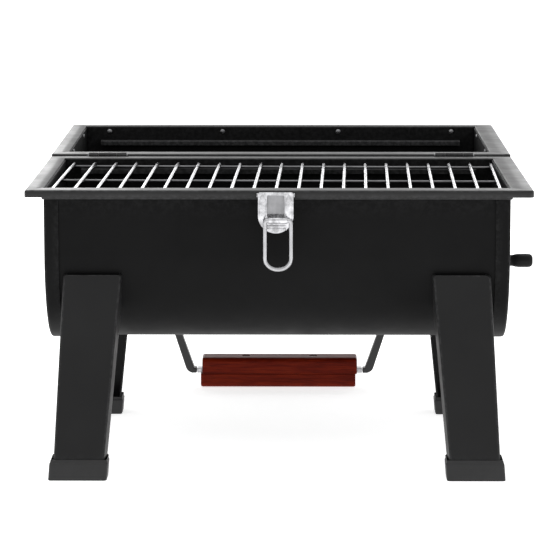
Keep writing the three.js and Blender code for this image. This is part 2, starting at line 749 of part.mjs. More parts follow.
function handleArm(side) {
  const foot = CROWN - GAP - 2;
  const shape = new THREE.Shape();
  shape.moveTo(ARM_TOP_IN_X, foot);
  shape.lineTo(88.9, 2.2 - TANG_DROP);
  shape.lineTo(ARM_END_X, ARM_END_HALF_HEIGHT - TANG_DROP);
  shape.lineTo(ARM_END_X, -ARM_END_HALF_HEIGHT - TANG_DROP);
  shape.lineTo(91.2, -ARM_END_HALF_HEIGHT - TANG_DROP);
  shape.quadraticCurveTo(96.4, -1.4 - TANG_DROP, 97.9, 3.4 - TANG_DROP);
  shape.lineTo(ARM_TOP_OUT_X, foot);
  const bracket = join(
    sweepAlongY(shape, -TANG_DEPTH / 2, TANG_DEPTH / 2),
    block([112, -17, foot], [138, 17, CROWN - GAP]),
  );
  const arm = cut(bracket, ...handleBores(HANDLE_BOLT_X));
  return side > 0 ? arm : atCorner(arm, false, true);
}

function handleBolt(side, y) {
  const profile = [[0, 0], [4.6, 0], [4.6, 3], [2.5, 3], [2.5, 10], [0, 10]];
  const bolt = turned(profile, [0, 0, -3], [0, 0, 1]);
  const nutProfile = [[0, 0], [4.4, 0], [4.4, 3.6], [0, 3.6]];
  const nut = turned(nutProfile, [0, 0, 2 + SHEET + 3 * GAP], [0, 0, 1], 6);
  return join(bolt, nut).translate(side * HANDLE_BOLT_X, y, CROWN - 2 - 2 * GAP);
}

function handleTang() {
  const bores = [-GRIP_SCREW_X, GRIP_SCREW_X].map((x) => bar([x, 0, -9], [x, 0, 9], 2.4));
  const low = [-TANG_HALF_LENGTH, -TANG_DEPTH / 2, -TANG_HEIGHT / 2];
  const high = [TANG_HALF_LENGTH, TANG_DEPTH / 2, TANG_HEIGHT / 2];
  return cut(block(low, high), ...bores).translate(0, 0, -TANG_DROP);
}

// One half of the wooden grip: sign is +1 above the seam and -1 below it.
function gripHalf(sign, height, shift) {
  const half = GRIP_WIDTH / 2;
  const shape = new THREE.Shape();
  shape.moveTo(-half, 0.15);
  shape.lineTo(half, 0.15);
  shape.lineTo(half, height - GRIP_ROUND);
  shape.quadraticCurveTo(half, height, half - GRIP_ROUND, height);
  shape.lineTo(GRIP_ROUND - half, height);
  shape.quadraticCurveTo(-half, height, -half, height - GRIP_ROUND);
  const wood = sweepAlongX(shape, -GRIP_LENGTH / 2, GRIP_LENGTH / 2);
  const slot = TANG_HEIGHT / 2 + GAP + sign * (SEAM_DROP - TANG_DROP);
  const reach = TANG_DEPTH / 2 + GAP;
  const groove = block([-GRIP_LENGTH, -reach, -1], [GRIP_LENGTH, reach, slot]);
  const bores = [-1, 1].flatMap((side) => {
    const x = side * GRIP_SCREW_X - shift;
    return [bar([x, 0, -1], [x, 0, 30], 2.4), bar([x, 0, height - 3.4], [x, 0, height + 5], 4.6)];
  });
  const grip = cut(wood, groove, ...bores);
  if (sign < 0) grip.rotateX(Math.PI);
  return grip.translate(shift, 0, -SEAM_DROP);
}

function gripScrew(side) {
  const low = -GRIP_LOWER + 0.8;
  const high = GRIP_UPPER - 0.8;
  const profile = [
    [0, low], [4, low], [4, low + 2.2], [2, low + 2.2],
    [2, high - 2.2], [4, high - 2.2], [4, high], [0, high],
  ];
  return turned(profile, [side * GRIP_SCREW_X, 0, -SEAM_DROP], [0, 0, 1], 14);
}

// ---- Assembly -----------------------------------------------------------------------------

function placed(x, y, z, ...children) {
  const group = new THREE.Group();
  group.position.set(x, y, z);
  group.add(...children);
  return group;
}

function fireboxGroup() {
  const ventBore = bar([-5, 0, 0], [5, 0, 0], VENT_BORE_RADIUS, 14);
  const rightEndHoles = [...ventHoles(-5, 5), ventBore].map((hole) => (
    hole.translate(END_X, 0, VENT_Z)
  ));
  const rivetHoles = latchRivetHoles().map((hole) => hole.translate(LATCH_X, -HALF_Y, 0));
  const firebox = placed(
    0,
    0,
    0,
    ...pan('firebox', FIREBOX_LEDGE_DROP, [...legBoltHoles(), ...rivetHoles], rightEndHoles),
    ...legs(),
    cookingGrate(),
    charcoalGrate(),
  );
  firebox.add(placed(
    LATCH_X,
    -HALF_Y,
    0,
    part('latch_base', latchBase(), 'zinc'),
    part('latch_rivet_left', latchRivet(-LATCH_RIVET_X), 'zinc'),
    part('latch_rivet_right', latchRivet(LATCH_RIVET_X), 'zinc'),
    part('latch_lever_pin', latchPin(), 'zinc'),
    part('latch_lever', latchLever(), 'zinc'),
    part('latch_bail', latchBail(), 'zinc'),
  ));
  firebox.add(placed(
    END_X,
    0,
    VENT_Z,
    part('vent_rivet', ventRivet(), 'zinc'),
    part('vent_disc', ventDisc(), 'enamel'),
    part('vent_knob', ventKnob(), 'plastic'),
  ));
  for (const [side, x] of [['left', -HINGE_X], ['right', HINGE_X]]) {
    firebox.add(placed(
      RIM_SHIFT + x,
      HINGE_Y,
      HINGE_RISE,
      part(`hinge_leaf_firebox_${side}`, hingeLeaf(-1, OUTER_KNUCKLES), 'enamel'),
      part(`hinge_pin_${side}`, hingePin(), 'zinc'),
    ));
  }
  return firebox;
}

// The lid's group has its origin on the hinge's axis and turns about it.
function lidGroup() {
  const boltHoles = [-HANDLE_BOLT_X, HANDLE_BOLT_X]
    .flatMap(handleBores)
    .map((hole) => hole.translate(0, HANDLE_Y, 0));
  const lidPan = placed(
    0,
    HINGE_GAP / 2 + HALF_Y,
    LID_RISE - HINGE_RISE,
    ...pan('lid', LID_LEDGE_DROP, boltHoles, []),
    placed(LATCH_X + BAIL_SHIFT, HALF_Y, 0, part('latch_keeper', latchKeeper(), 'zinc')),
    placed(
      0,
      HANDLE_Y,
      0,
      part('handle_arm_left', handleArm(-1), 'enamel'),
      part('handle_arm_right', handleArm(1), 'enamel'),
      part('handle_tang', handleTang(), 'zinc'),
      part('grip_upper', gripHalf(1, GRIP_UPPER, 0), 'wood'),
      part('grip_lower', gripHalf(-1, GRIP_LOWER, GRIP_SHIFT), 'wood'),
      part('grip_screw_left', gripScrew(-1), 'zinc'),
      part('grip_screw_right', gripScrew(1), 'zinc'),
      part('handle_bolt_left_front', handleBolt(-1, -HANDLE_BOLT_Y), 'zinc'),
      part('handle_bolt_left_rear', handleBolt(-1, HANDLE_BOLT_Y), 'zinc'),
      part('handle_bolt_right_front', handleBolt(1, -HANDLE_BOLT_Y), 'zinc'),
      part('handle_bolt_right_rear', handleBolt(1, HANDLE_BOLT_Y), 'zinc'),
    ),
  );
  const leaf = (side, x) => {
    const mesh = part(`hinge_leaf_lid_${side}`, hingeLeaf(1, MIDDLE_KNUCKLE), 'enamel');
    return placed(RIM_SHIFT + x, 0, 0, mesh);
  };
  const leaves = [leaf('left', -HINGE_X), leaf('right', HINGE_X)];
  const lid = placed(0, HINGE_Y, HINGE_RISE, lidPan, ...leaves);
  lid.rotation.x = radians(LID_TILT);
  return lid;
}

const group = placed(0, 0, 0, fireboxGroup(), lidGroup());
const extent = new THREE.Box3().setFromObject(group, true);
const middle = extent.getCenter(new THREE.Vector3());
group.position.set(-middle.x, -middle.y, -extent.min.z);

export default group;
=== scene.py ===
"""Folding camp grill: the visual model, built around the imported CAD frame.

Shapes are drawn in millimetres in a pan's own frame (z = 0 on top of the rim, halfway between the
walls) or on the hinge's axis, and placed in the frame by one matrix each.
"""

import json
import math
import random

import bmesh
import bpy
from mathutils import Matrix, Vector


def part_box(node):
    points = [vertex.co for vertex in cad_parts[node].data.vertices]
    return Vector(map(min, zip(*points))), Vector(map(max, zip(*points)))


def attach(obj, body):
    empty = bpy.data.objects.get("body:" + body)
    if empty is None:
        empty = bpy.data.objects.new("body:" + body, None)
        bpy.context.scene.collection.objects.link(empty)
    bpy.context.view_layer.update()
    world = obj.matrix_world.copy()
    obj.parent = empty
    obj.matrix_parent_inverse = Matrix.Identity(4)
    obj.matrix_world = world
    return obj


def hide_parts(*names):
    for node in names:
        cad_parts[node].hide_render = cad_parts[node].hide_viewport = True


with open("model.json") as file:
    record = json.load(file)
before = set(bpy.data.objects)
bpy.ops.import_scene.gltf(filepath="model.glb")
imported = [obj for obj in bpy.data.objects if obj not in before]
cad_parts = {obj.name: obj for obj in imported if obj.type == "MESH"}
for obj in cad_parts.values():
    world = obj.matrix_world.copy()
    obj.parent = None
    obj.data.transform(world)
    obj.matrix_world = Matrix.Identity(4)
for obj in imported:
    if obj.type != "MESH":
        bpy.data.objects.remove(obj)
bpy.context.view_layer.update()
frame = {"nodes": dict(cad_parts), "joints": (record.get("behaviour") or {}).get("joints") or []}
random.seed(7)
pi = math.pi

# ---- Dimensions, as in the CAD model (mm) ------------------------------------------------------
SHEET, GAP = 1.2, 0.3
HALF_X, HALF_Y = 226.0, 140.0
RIM_SHIFT = 2.0  # the rim's middle is right of the walls' middle
WALL_Y, END_X = 122.1, 208.5
INSIDE_X, INSIDE_Y = 207.3, 120.9
PAN_TOP, PAN_DEPTH, PAN_CORNER = -1.5, 146.3, 87.0
BEND_Y, BEND_Z = WALL_Y - PAN_CORNER, PAN_CORNER - PAN_DEPTH
END_FLANGE = 12.0  # the end caps' edge, folded over the shell
RIM_HEIGHT, LIP_HEIGHT, SKIRT_HEIGHT = 257.2, 6.5, 10.0
LEDGE_HALF_LENGTH, LEDGE_WIDTH, LEDGE_FACE = 192, 8, 5
LEDGE_DROPS = {"firebox": 9.2, "lid": 14.7}
HINGE_X, HINGE_WIDTH = 170.0, 37.0
LID_TILT = 0.4  # degrees that the open lid's rim leans
LID_BACK, LID_RISE = 144, 0.5  # from the hinge's axis to the lid's own frame
LATCH_X = -1.0
VENT_DROP, VENT_CIRCLE, VENT_HOLE_RADIUS, VENT_BORE = 62, 18, 7, 2.8
HANDLE_Y = 4
TANG_DROP = 242.8
SEAM_DROP = TANG_DROP + 2.2

# ---- Frames ------------------------------------------------------------------------------------
joints = {j["name"]: j for j in frame["joints"]}
rim_low, rim_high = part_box("firebox_rim")
to_metres = Matrix.Scale(0.001, 4)
rim_middle = Vector(((rim_low.x + rim_high.x) / 2, (rim_low.y + rim_high.y) / 2, rim_high.z))
RIM = Matrix.Translation(rim_middle) @ to_metres
FIREBOX = RIM @ Matrix.Translation((-RIM_SHIFT, 0, 0))
HINGE = Matrix.Translation(joints["lid_hinge"]["pos_m"]) @ to_metres
LID_HINGE = HINGE @ Matrix.Rotation(math.radians(LID_TILT), 4, "X")
LID = LID_HINGE @ Matrix.Translation((0, LID_BACK, LID_RISE))
LATCH = FIREBOX @ Matrix.Translation((LATCH_X, -HALF_Y, 0))
VENT = FIREBOX @ Matrix.Translation((END_X, 0, -VENT_DROP))
HANDLE = LID @ Matrix.Translation((0, HANDLE_Y, 0))


# ---- Node materials ----------------------------------------------------------------------------
class Nodes:
    """A material's nodes, made and linked in short calls."""

    def __init__(self, name):
        self.material = bpy.data.materials.new(name)
        self.material.use_nodes = True
        self.tree = self.material.node_tree
        self.shader = self.tree.nodes["Principled BSDF"]
        coord = self.tree.nodes.new("ShaderNodeTexCoord")
        self.coord = coord.outputs["Object"]

    def link(self, a, b):
        self.tree.links.new(a, b)

    def set(self, **values):
        for key, value in values.items():
            self.shader.inputs[key.replace("_", " ")].default_value = value

    def stretch(self, x, y, z, source=None):
        node = self.tree.nodes.new("ShaderNodeMapping")
        node.inputs["Scale"].default_value = (x, y, z)
        self.link(source or self.coord, node.inputs["Vector"])
        return node.outputs["Vector"]

    def noise(self, scale, detail=2.0, rough=0.5, vector=None, distortion=0.0):
        node = self.tree.nodes.new("ShaderNodeTexNoise")
        node.inputs["Scale"].default_value = scale
        node.inputs["Detail"].default_value = detail
        node.inputs["Roughness"].default_value = rough
        node.inputs["Distortion"].default_value = distortion
        self.link(vector or self.coord, node.inputs["Vector"])
        return node.outputs["Fac"]

    def span(self, value, low, high, to_low, to_high):
        node = self.tree.nodes.new("ShaderNodeMapRange")
        limits = {"From Min": low, "From Max": high, "To Min": to_low, "To Max": to_high}
        for key, number in limits.items():
            node.inputs[key].default_value = number
        self.link(value, node.inputs["Value"])
        return node.outputs["Result"]

    def maths(self, operation, a, b):
        node = self.tree.nodes.new("ShaderNodeMath")
        node.operation = operation
        for socket, value in zip(node.inputs, (a, b)):
            if isinstance(value, (int, float)):
                socket.default_value = value
            else:
                self.link(value, socket)
        return node.outputs[0]

    def ramp(self, value, *stops):
        node = self.tree.nodes.new("ShaderNodeValToRGB")
        elements = node.color_ramp.elements
        while len(elements) < len(stops):
            elements.new(0.5)
        for element, (place, colour) in zip(elements, stops):
            element.position = place
            element.color = (*colour, 1)
        self.link(value, node.inputs["Fac"])
        return node.outputs["Color"]

    def mix(self, factor, a, b):
        node = self.tree.nodes.new("ShaderNodeMix")
        node.data_type = "RGBA"
        self.link(factor, node.inputs["Factor"])
        for socket, value in ((node.inputs[6], a), (node.inputs[7], b)):
            if isinstance(value, tuple):
                socket.default_value = (*value, 1)
            else:
                self.link(value, socket)
        return node.outputs[2]

    def bump(self, height, strength, distance, after=None):
        node = self.tree.nodes.new("ShaderNodeBump")
        node.inputs["Strength"].default_value = strength
        node.inputs["Distance"].default_value = distance
        self.link(height, node.inputs["Height"])
        if after:
            self.link(after, node.inputs["Normal"])
        return node.outputs["Normal"]

    def attribute(self, name):
        node = self.tree.nodes.new("ShaderNodeAttribute")
        node.attribute_name = name
        return node.outputs["Fac"]

    def finish(self, colour=None, roughness=None, normal=None):
        for key, socket in (("Base Color", colour), ("Roughness", roughness), ("Normal", normal)):
            if socket:
                self.link(socket, self.shader.inputs[key])
        return self.material


def grey(value):
    return (value, value, value * 1.03)


def powder_coat(name, dark, light, rough=0.5, specular=0.3, peel=0.3):
    """Fine orange peel over sheet steel, a little uneven in tone, rubbed along the edges."""
    n = Nodes(name)
    n.set(Metallic=0.0, Specular_IOR_Level=specular)
    peel_height = n.noise(1500, 3, 0.55)
    grain = n.noise(5200, 1, 0.5)
    cloud = n.noise(9, 3, 0.6)
    tone = n.ramp(cloud, (0.32, grey(dark)), (0.68, grey(light)))
    rub = n.maths("MULTIPLY", n.attribute("wear"), n.span(n.noise(240, 4, 0.7), 0.42, 0.62, 0, 1))
    colour = n.mix(rub, tone, grey(light * 2.5))
    roughness = n.span(n.noise(38, 3, 0.6), 0.3, 0.7, rough - 0.05, rough + 0.06)
    normal = n.bump(grain, peel * 0.4, 0.00004, n.bump(peel_height, peel, 0.00012))
    return n.finish(colour, roughness, normal)


def plated(name, dark, light, rough_low, rough_high, streak=(1, 1, 1), scratch=0.12, patch=60):
    """Bright plated metal with faint streaks, dull patches and fine scratches."""
    n = Nodes(name)
    n.set(Metallic=1.0)
    patches = n.noise(patch, 4, 0.62)
    streaks = n.noise(420, 3, 0.6, n.stretch(*streak))
    colour = n.ramp(patches, (0.3, grey(dark)), (0.7, grey(light)))
    roughness = n.span(streaks, 0.3, 0.7, rough_low, rough_high)
    normal = n.bump(streaks, scratch, 0.00006, n.bump(n.noise(900, 2), scratch * 0.5, 0.00005))
    return n.finish(colour, roughness, normal)


def varnished_wood(name):
    """Red-brown stained hardwood: long grain with pores, under a glossy varnish."""
    n = Nodes(name)
    n.set(Specular_IOR_Level=0.06, Coat_Weight=0.03, Coat_Roughness=0.3, Coat_IOR=1.3)
    long_way = n.stretch(0.09, 1, 1)
    bands = n.noise(150, 4, 0.6, long_way, 1.6)
    fibres = n.noise(900, 3, 0.7, n.stretch(0.03, 1, 1))
    pores = n.noise(1500, 2, 0.6, n.stretch(0.05, 1, 1))
    figure = n.maths("ADD", n.maths("MULTIPLY", bands, 0.65), n.maths("MULTIPLY", fibres, 0.35))
    stain = n.ramp(
        figure,
        (0.34, (0.075, 0.0045, 0.0014)),
        (0.48, (0.12, 0.008, 0.002)),
        (0.6, (0.165, 0.0135, 0.003)),
        (0.74, (0.21, 0.024, 0.006)),
    )
    dark_pores = n.span(pores, 0.56, 0.66, 0, 0.4)
    colour = n.mix(dark_pores, stain, (0.008, 0.002, 0.0015))
    roughness = n.span(fibres, 0.3, 0.7, 0.34, 0.5)
    normal = n.bump(pores, 0.16, 0.0001, n.bump(fibres, 0.18, 0.00014))
    return n.finish(colour, roughness, normal)


def moulded(name, dark, light, rough=0.5, specular=0.35):
    """Moulded plastic or rubber with a fine leathery grain."""
    n = Nodes(name)
    n.set(Specular_IOR_Level=specular)
    grain = n.noise(2200, 2, 0.5)
    colour = n.ramp(n.noise(30, 3, 0.6), (0.35, grey(dark)), (0.65, grey(light)))
    roughness = n.span(n.noise(200, 3), 0.3, 0.7, rough - 0.05, rough + 0.07)
    return n.finish(colour, roughness, n.bump(grain, 0.28, 0.00012))


# One black powder coat in lit and shaded copies. The base tone is darkest on the walls, ends and vent
# disc as painted shade. It is lighter as painted light on the rim, the legs and the inside ledges and
# charcoal grate, and lightest on the handle's arms.
COAT = powder_coat("powder_coat", 0.0035, 0.005, rough=0.5, specular=0.07, peel=0.06)
COAT_RIM = powder_coat("powder_coat_rim", 0.0065, 0.009, rough=0.4, specular=0.26, peel=0.04)
COAT_INSIDE = powder_coat("powder_coat_inside", 0.009, 0.013, rough=0.62, specular=0.16, peel=0.03)
COAT_LEG = powder_coat("powder_coat_leg", 0.0065, 0.0095, rough=0.5, specular=0.17, peel=0.06)
COAT_ARM = powder_coat("powder_coat_arm", 0.02, 0.03, rough=0.45, specular=0.5, peel=0.2)
CHROME = plated("chrome_wire", 0.48, 0.58, 0.2, 0.3, (1, 0.08, 1), 0.03)
# A darker copy of the chrome wire for the crossbars and weld beads: painted shade where they lie under
# the rods.
CROSSBAR = plated("crossbar_wire", 0.1, 0.16, 0.35, 0.5, (0.08, 1, 1))
ZINC = plated("zinc_plate", 0.26, 0.7, 0.2, 0.38, (1, 1, 0.12), 0.2, 170)
# A darker copy of the zinc plate for the panel seen through the latch's window: painted shade in the
# recess.
RECESS = plated("latch_recess", 0.22, 0.32, 0.4, 0.55, (1, 1, 0.12), 0.1)
NICKEL = plated("nickel_wire", 0.34, 0.48, 0.2, 0.32, (1, 1, 0.2))
STEEL = plated("dark_fastener", 0.16, 0.28, 0.35, 0.5)
WOOD = varnished_wood("varnished_grip")
CAP = moulded("cap_plastic", 0.011, 0.016, 0.5)
KNOB = moulded("knob_plastic", 0.003, 0.0045, 0.46, 0.16)


# ---- Mesh helpers --------------------------------------------------------------------------------
def loft(rings, closed=True, cyclic=False, start=False, end=False):
    """Faces between rings of equal length, as (vertices, faces)."""
    count = len(rings[0])
    vertices = [tuple(p) for ring in rings for p in ring]
    faces = []
    for i in range(len(rings) if cyclic else len(rings) - 1):
        a, b = i * count, ((i + 1) % len(rings)) * count
        for j in range(count if closed else count - 1):
            k = (j + 1) % count
            faces.append((a + j, a + k, b + k, b + j))
    if start:
        faces.append(tuple(range(count)))
    if end:
        faces.append(tuple(range((len(rings) - 1) * count, len(rings) * count)))
    return vertices, faces


def arc(cx, cy, radius, a0, a1, steps):
    """Points on an arc, angles in degrees, both ends included."""
    angles = [math.radians(a0 + (a1 - a0) * i / steps) for i in range(steps + 1)]
    return [(cx + radius * math.cos(a), cy + radius * math.sin(a)) for a in angles]


def rounded(half_x, half_y, radii, steps=6):
    """A rectangle with four corner radii: front left, front right, rear right, rear left."""
    points = []
    corners = ((-1, -1, 180), (1, -1, 270), (1, 1, 0), (-1, 1, 90))
    for (sx, sy, a0), radius in zip(corners, radii):
        radius = max(radius, 0.05)
        points += arc(sx * (half_x - radius), sy * (half_y - radius), radius, a0, a0 + 90, steps)
    return points


def prism(outline, low, high, axis="Z"):
    """A closed outline swept between two heights along an axis."""
    place = {
        "X": lambda a, b, h: (h, a, b),
        "Y": lambda a, b, h: (a, h, b),
        "Z": lambda a, b, h: (a, b, h),
    }[axis]
    return loft([[place(a, b, h) for a, b in outline] for h in (low, high)], start=True, end=True)


def slab(x0, x1, y0, y1, z0, z1):
    return prism([(x0, y0), (x1, y0), (x1, y1), (x0, y1)], z0, z1)


def turned(profile, origin=(0, 0, 0), axis=(0, 0, 1), sides=40):
    """A closed solid of revolution from (radius, height) points, the first and last on the axis."""
    turn = Vector((0, 0, 1)).rotation_difference(Vector(axis)).to_matrix()
    rings = []
    for radius, height in profile[1:-1]:
        ring = []
        for i in range(sides):
            a = 2 * pi * i / sides
            spoke = Vector((radius * math.cos(a), radius * math.sin(a), height))
            ring.append(Vector(origin) + turn @ spoke)
        rings.append(ring)
    vertices, faces = loft(rings)
    for at, (_, height) in ((0, profile[0]), ((len(rings) - 1) * sides, profile[-1])):
        tip = len(vertices)
        vertices.append(tuple(Vector(origin) + turn @ Vector((0, 0, height))))
        faces += [(tip, at + i, at + (i + 1) % sides) for i in range(sides)]
    return vertices, faces


def pipe(outer, inner, x0, x1, sides=36, edge=0.25):
    """A short tube along X about the origin, its outer edges eased."""
    rings = []
    for radius, x in (
        (inner, x0), (outer - edge, x0), (outer, x0 + edge),
        (outer, x1 - edge), (outer - edge, x1), (inner, x1),
    ):
        rings.append([
            (x, radius * math.cos(2 * pi * i / sides), radius * math.sin(2 * pi * i / sides))
            for i in range(sides)
        ])
    return loft(rings, cyclic=True)


def wire(points, radius, sides=16, ease=0.35):
    """A round wire through points, with eased ends."""
    points = [Vector(p) for p in points]
    tangents = []
    for i in range(len(points)):
        a, b = points[max(i - 1, 0)], points[min(i + 1, len(points) - 1)]
        tangents.append((b - a).normalized())
    normal = tangents[0].orthogonal().normalized()
    eased = radius * ease
    end_rows = [(0, radius - eased), (eased * 0.3, radius - eased * 0.3), (eased, radius)]
    rings = []
    for i, (point, tangent) in enumerate(zip(points, tangents)):
        normal = (normal - tangent * normal.dot(tangent)).normalized()
        side = tangent.cross(normal)
        circle = [
            normal * math.cos(2 * pi * k / sides) + side * math.sin(2 * pi * k / sides)
            for k in range(sides)
        ]
        if i == 0:
            rows = end_rows
        elif i == len(points) - 1:
            rows = [(-along, r) for along, r in reversed(end_rows)]
        else:
            rows = [(0, radius)]
        rings += [[point + tangent * along + c * r for c in circle] for along, r in rows]
    return loft(rings, start=True, end=True)


def bent(corners, bend, steps=7):
    """Corner points joined by straight runs and round bends."""
    corners = [Vector(c) for c in corners]
    path = [corners[0]]
    for before, corner, after in zip(corners, corners[1:], corners[2:]):
        a = (before - corner).normalized()
        b = (after - corner).normalized()
        half = a.angle(b) / 2
        shorter = min((before - corner).length, (after - corner).length)
        back = min(bend / math.tan(half), shorter * 0.5)
        radius = back * math.tan(half)
        centre = corner + (a + b).normalized() * math.hypot(back, radius)
        start, end = corner + a * back - centre, corner + b * back - centre
        for i in range(steps + 1):
            spoke = start.normalized().slerp(end.normalized(), i / steps)
            path.append(centre + spoke * start.length)
    path.append(corners[-1])
    return path


def shift(shell, x=0.0, y=0.0, z=0.0):
    vertices, faces = shell
    return [(a + x, b + y, c + z) for a, b, c in vertices], faces


def moved(shell, matrix):
    vertices, faces = shell
    return [tuple(matrix @ Vector(v)) for v in vertices], faces


def mesh_object(name, shells, matrix):
    bm = bmesh.new()
    for vertices, faces in shells:
        made = [bm.verts.new(v) for v in vertices]
        for face in faces:
            bm.faces.new([made[i] for i in face])
    bmesh.ops.recalc_face_normals(bm, faces=bm.faces)
    bm.transform(matrix)
    if matrix.determinant() < 0:
        bmesh.ops.reverse_faces(bm, faces=bm.faces)
    mesh = bpy.data.meshes.new(name)
    bm.to_mesh(mesh)
    bm.free()
    thing = bpy.data.objects.new(name, mesh)
    bpy.context.scene.collection.objects.link(thing)
    return thing


def apply_modifiers(thing):
    bpy.context.view_layer.update()
    evaluated = thing.evaluated_get(bpy.context.evaluated_depsgraph_get())
    result = bpy.data.meshes.new_from_object(evaluated)
    thing.modifiers.clear()
    thing.data = result


def carve(thing, cutters, matrix):
    """Cuts shells drawn in the same frame out of a piece."""
    tool = mesh_object("cutter", cutters, matrix)
    modifier = thing.modifiers.new("cut", "BOOLEAN")
    modifier.object = tool
    modifier.solver = "EXACT"
    modifier.operation = "DIFFERENCE"
    apply_modifiers(thing)
    bpy.data.objects.remove(tool)


def thicken(thing, thickness):
    modifier = thing.modifiers.new("sheet", "SOLIDIFY")
    modifier.thickness = thickness * 0.001
    modifier.offset = -1
    modifier.use_even_offset = True
    apply_modifiers(thing)


WORN_EDGE = math.radians(14)  # edges that turn more than this show wear
SHARP_EDGE = math.radians(48)  # and more than this are shaded as creases


def done(thing, body, material, slot, replaces=(), bevel=0.0, segments=3, sharp=32, wear=1.0):
    """Shading, edges, edge wear, material and body of a finished piece; its slot is not used."""
    bm = bmesh.new()
    bm.from_mesh(thing.data)
    bmesh.ops.remove_doubles(bm, verts=bm.verts, dist=2e-6)
    limit = math.radians(sharp)
    if bevel:
        edges = [e for e in bm.edges if len(e.link_faces) == 2 and e.calc_face_angle(0) > limit]
        bmesh.ops.bevel(
            bm, geom=edges, offset=bevel * 0.001, segments=segments, profile=0.6,
            affect="EDGES", clamp_overlap=True,
        )
    layer = bm.verts.layers.float.new("wear")
    for vertex in bm.verts:
        turns = [e.calc_face_angle(0) for e in vertex.link_edges if len(e.link_faces) == 2]
        vertex[layer] = wear if max(turns, default=0) > WORN_EDGE else 0.0
    for edge in bm.edges:
        edge.smooth = not (len(edge.link_faces) == 2 and edge.calc_face_angle(0) > SHARP_EDGE)
    for face in bm.faces:
        face.smooth = True
    bm.to_mesh(thing.data)
    bm.free()
    thing.data.materials.clear()
    thing.data.materials.append(material)
    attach(thing, body)
    if replaces:
        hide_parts(*replaces)
    if bevel:
        normals = thing.modifiers.new("normals", "WEIGHTED_NORMAL")
        normals.keep_sharp = True
    return thing


def piece(name, shells, matrix, body, material, slot, replaces=(), **look):
    return done(mesh_object(name, shells, matrix), body, material, slot, replaces, **look)


# ---- Pans: the firebox and the lid ---------------------------------------------------------------
def pan_outline(offset, top=PAN_TOP, steps=28):
    """The pan's cross-section in (Y, Z), from its rear top edge round the bottom to its front one."""
    radius = PAN_CORNER + offset
    points = [(WALL_Y + offset, top), (WALL_Y + offset, (top + BEND_Z) / 2)]
    points += arc(BEND_Y, BEND_Z, radius, 0, -90, steps)
    points += arc(-BEND_Y, BEND_Z, radius, -90, -180, steps)
    return points + [(-WALL_Y - offset, (top + BEND_Z) / 2), (-WALL_Y - offset, top)]


def pan_shell():
    outline = pan_outline(0) + list(reversed(pan_outline(-SHEET)))
    end = INSIDE_X - GAP
    xs = [-end, -195, -100, 0, 100, 195, end]
    rings = [[(x, y, z) for y, z in outline] for x in xs]
    return loft(rings, start=True, end=True)


def end_cap(side, name, matrix, body, replaces, holes=()):
    """A pressed end: a flat plate whose edge turns over the shell through a small bend."""
    bend = 2.6
    out = GAP + SHEET
    fold = INSIDE_X - END_FLANGE
    rows = [(END_X, out - bend)]
    for i in range(1, 7):
        a = i * pi / 12
        rows.append((END_X - bend + bend * math.cos(a), out - bend + bend * math.sin(a)))
    rows += [(END_X - 6, out), (fold, out)]
    rings = [[(side * x, y, z) for y, z in pan_outline(offset)] for x, offset in rows]
    vertices, faces = loft(rings, closed=False)
    faces.append(tuple(range(len(rings[0]))))
    cap = mesh_object(name, [(vertices, faces)], matrix)
    bm = bmesh.new()
    bm.from_mesh(cap.data)
    centre = matrix @ Vector((0, 0, -60))
    plate = max(bm.faces, key=lambda f: f.calc_area())
    if plate.normal.dot(plate.calc_center_median() - centre) < 0:
        bmesh.ops.reverse_faces(bm, faces=bm.faces)
    bm.to_mesh(cap.data)
    bm.free()
    thicken(cap, SHEET)
    if holes:
        carve(cap, holes, matrix)
    return done(cap, body, COAT, "enamel", replaces, bevel=0.25, segments=2, sharp=60)


def rim_rings(radii):
    """The rim's closed cross-section, swept round the walls' middle line by line."""
    lip, bend = LIP_HEIGHT, 1.9
    skirt_x, skirt_y = END_X + SHEET + 0.4, WALL_Y + 3.0
    outside = [(0.35, -lip), (0, -lip + 0.35), (0, -bend - 1)]
    for i in range(0, 7):
        a = i * pi / 12
        outside.append((bend - bend * math.cos(a), -bend + bend * math.sin(a)))
    outside.append((8, 0))
    hole_rows = [(END_X + 0.4, INSIDE_Y + 0.4, 0)]
    hole_rows += [(END_X, INSIDE_Y, -0.4), (END_X, INSIDE_Y, -SHEET)]
    hem, foot = 0.3 - SKIRT_HEIGHT, -SKIRT_HEIGHT
    skirt = [(SHEET, -SHEET), (SHEET, hem), (SHEET - 0.3, foot), (0.3, foot), (0, hem)]
    skirt.append((0, -SHEET - 0.3))
    under = [(12, -SHEET), (SHEET + 1.2, -SHEET), (SHEET, -SHEET - 1.2), (SHEET, -lip + 0.35)]
    under.append((SHEET - 0.35, -lip))

    def outer_ring(inset, z):
        corner = [max(r - inset, 1.2 if inset > 5 else 0.4) for r in radii]
        return [(x + RIM_SHIFT, y, z) for x, y in rounded(HALF_X - inset, HALF_Y - inset, corner)]

    def inner_ring(half_x, half_y, z, corner):
        return [(x, y, z) for x, y in rounded(half_x, half_y, [corner] * 4)]

    rings = [outer_ring(inset, z) for inset, z in outside]
    rings += [inner_ring(*row, 1.0) for row in hole_rows]
    for inset, z in skirt:
        rings.append(inner_ring(skirt_x - inset, skirt_y - inset, z, 2.0 - inset * 0.8))
    return rings + [outer_ring(inset, z) for inset, z in under]


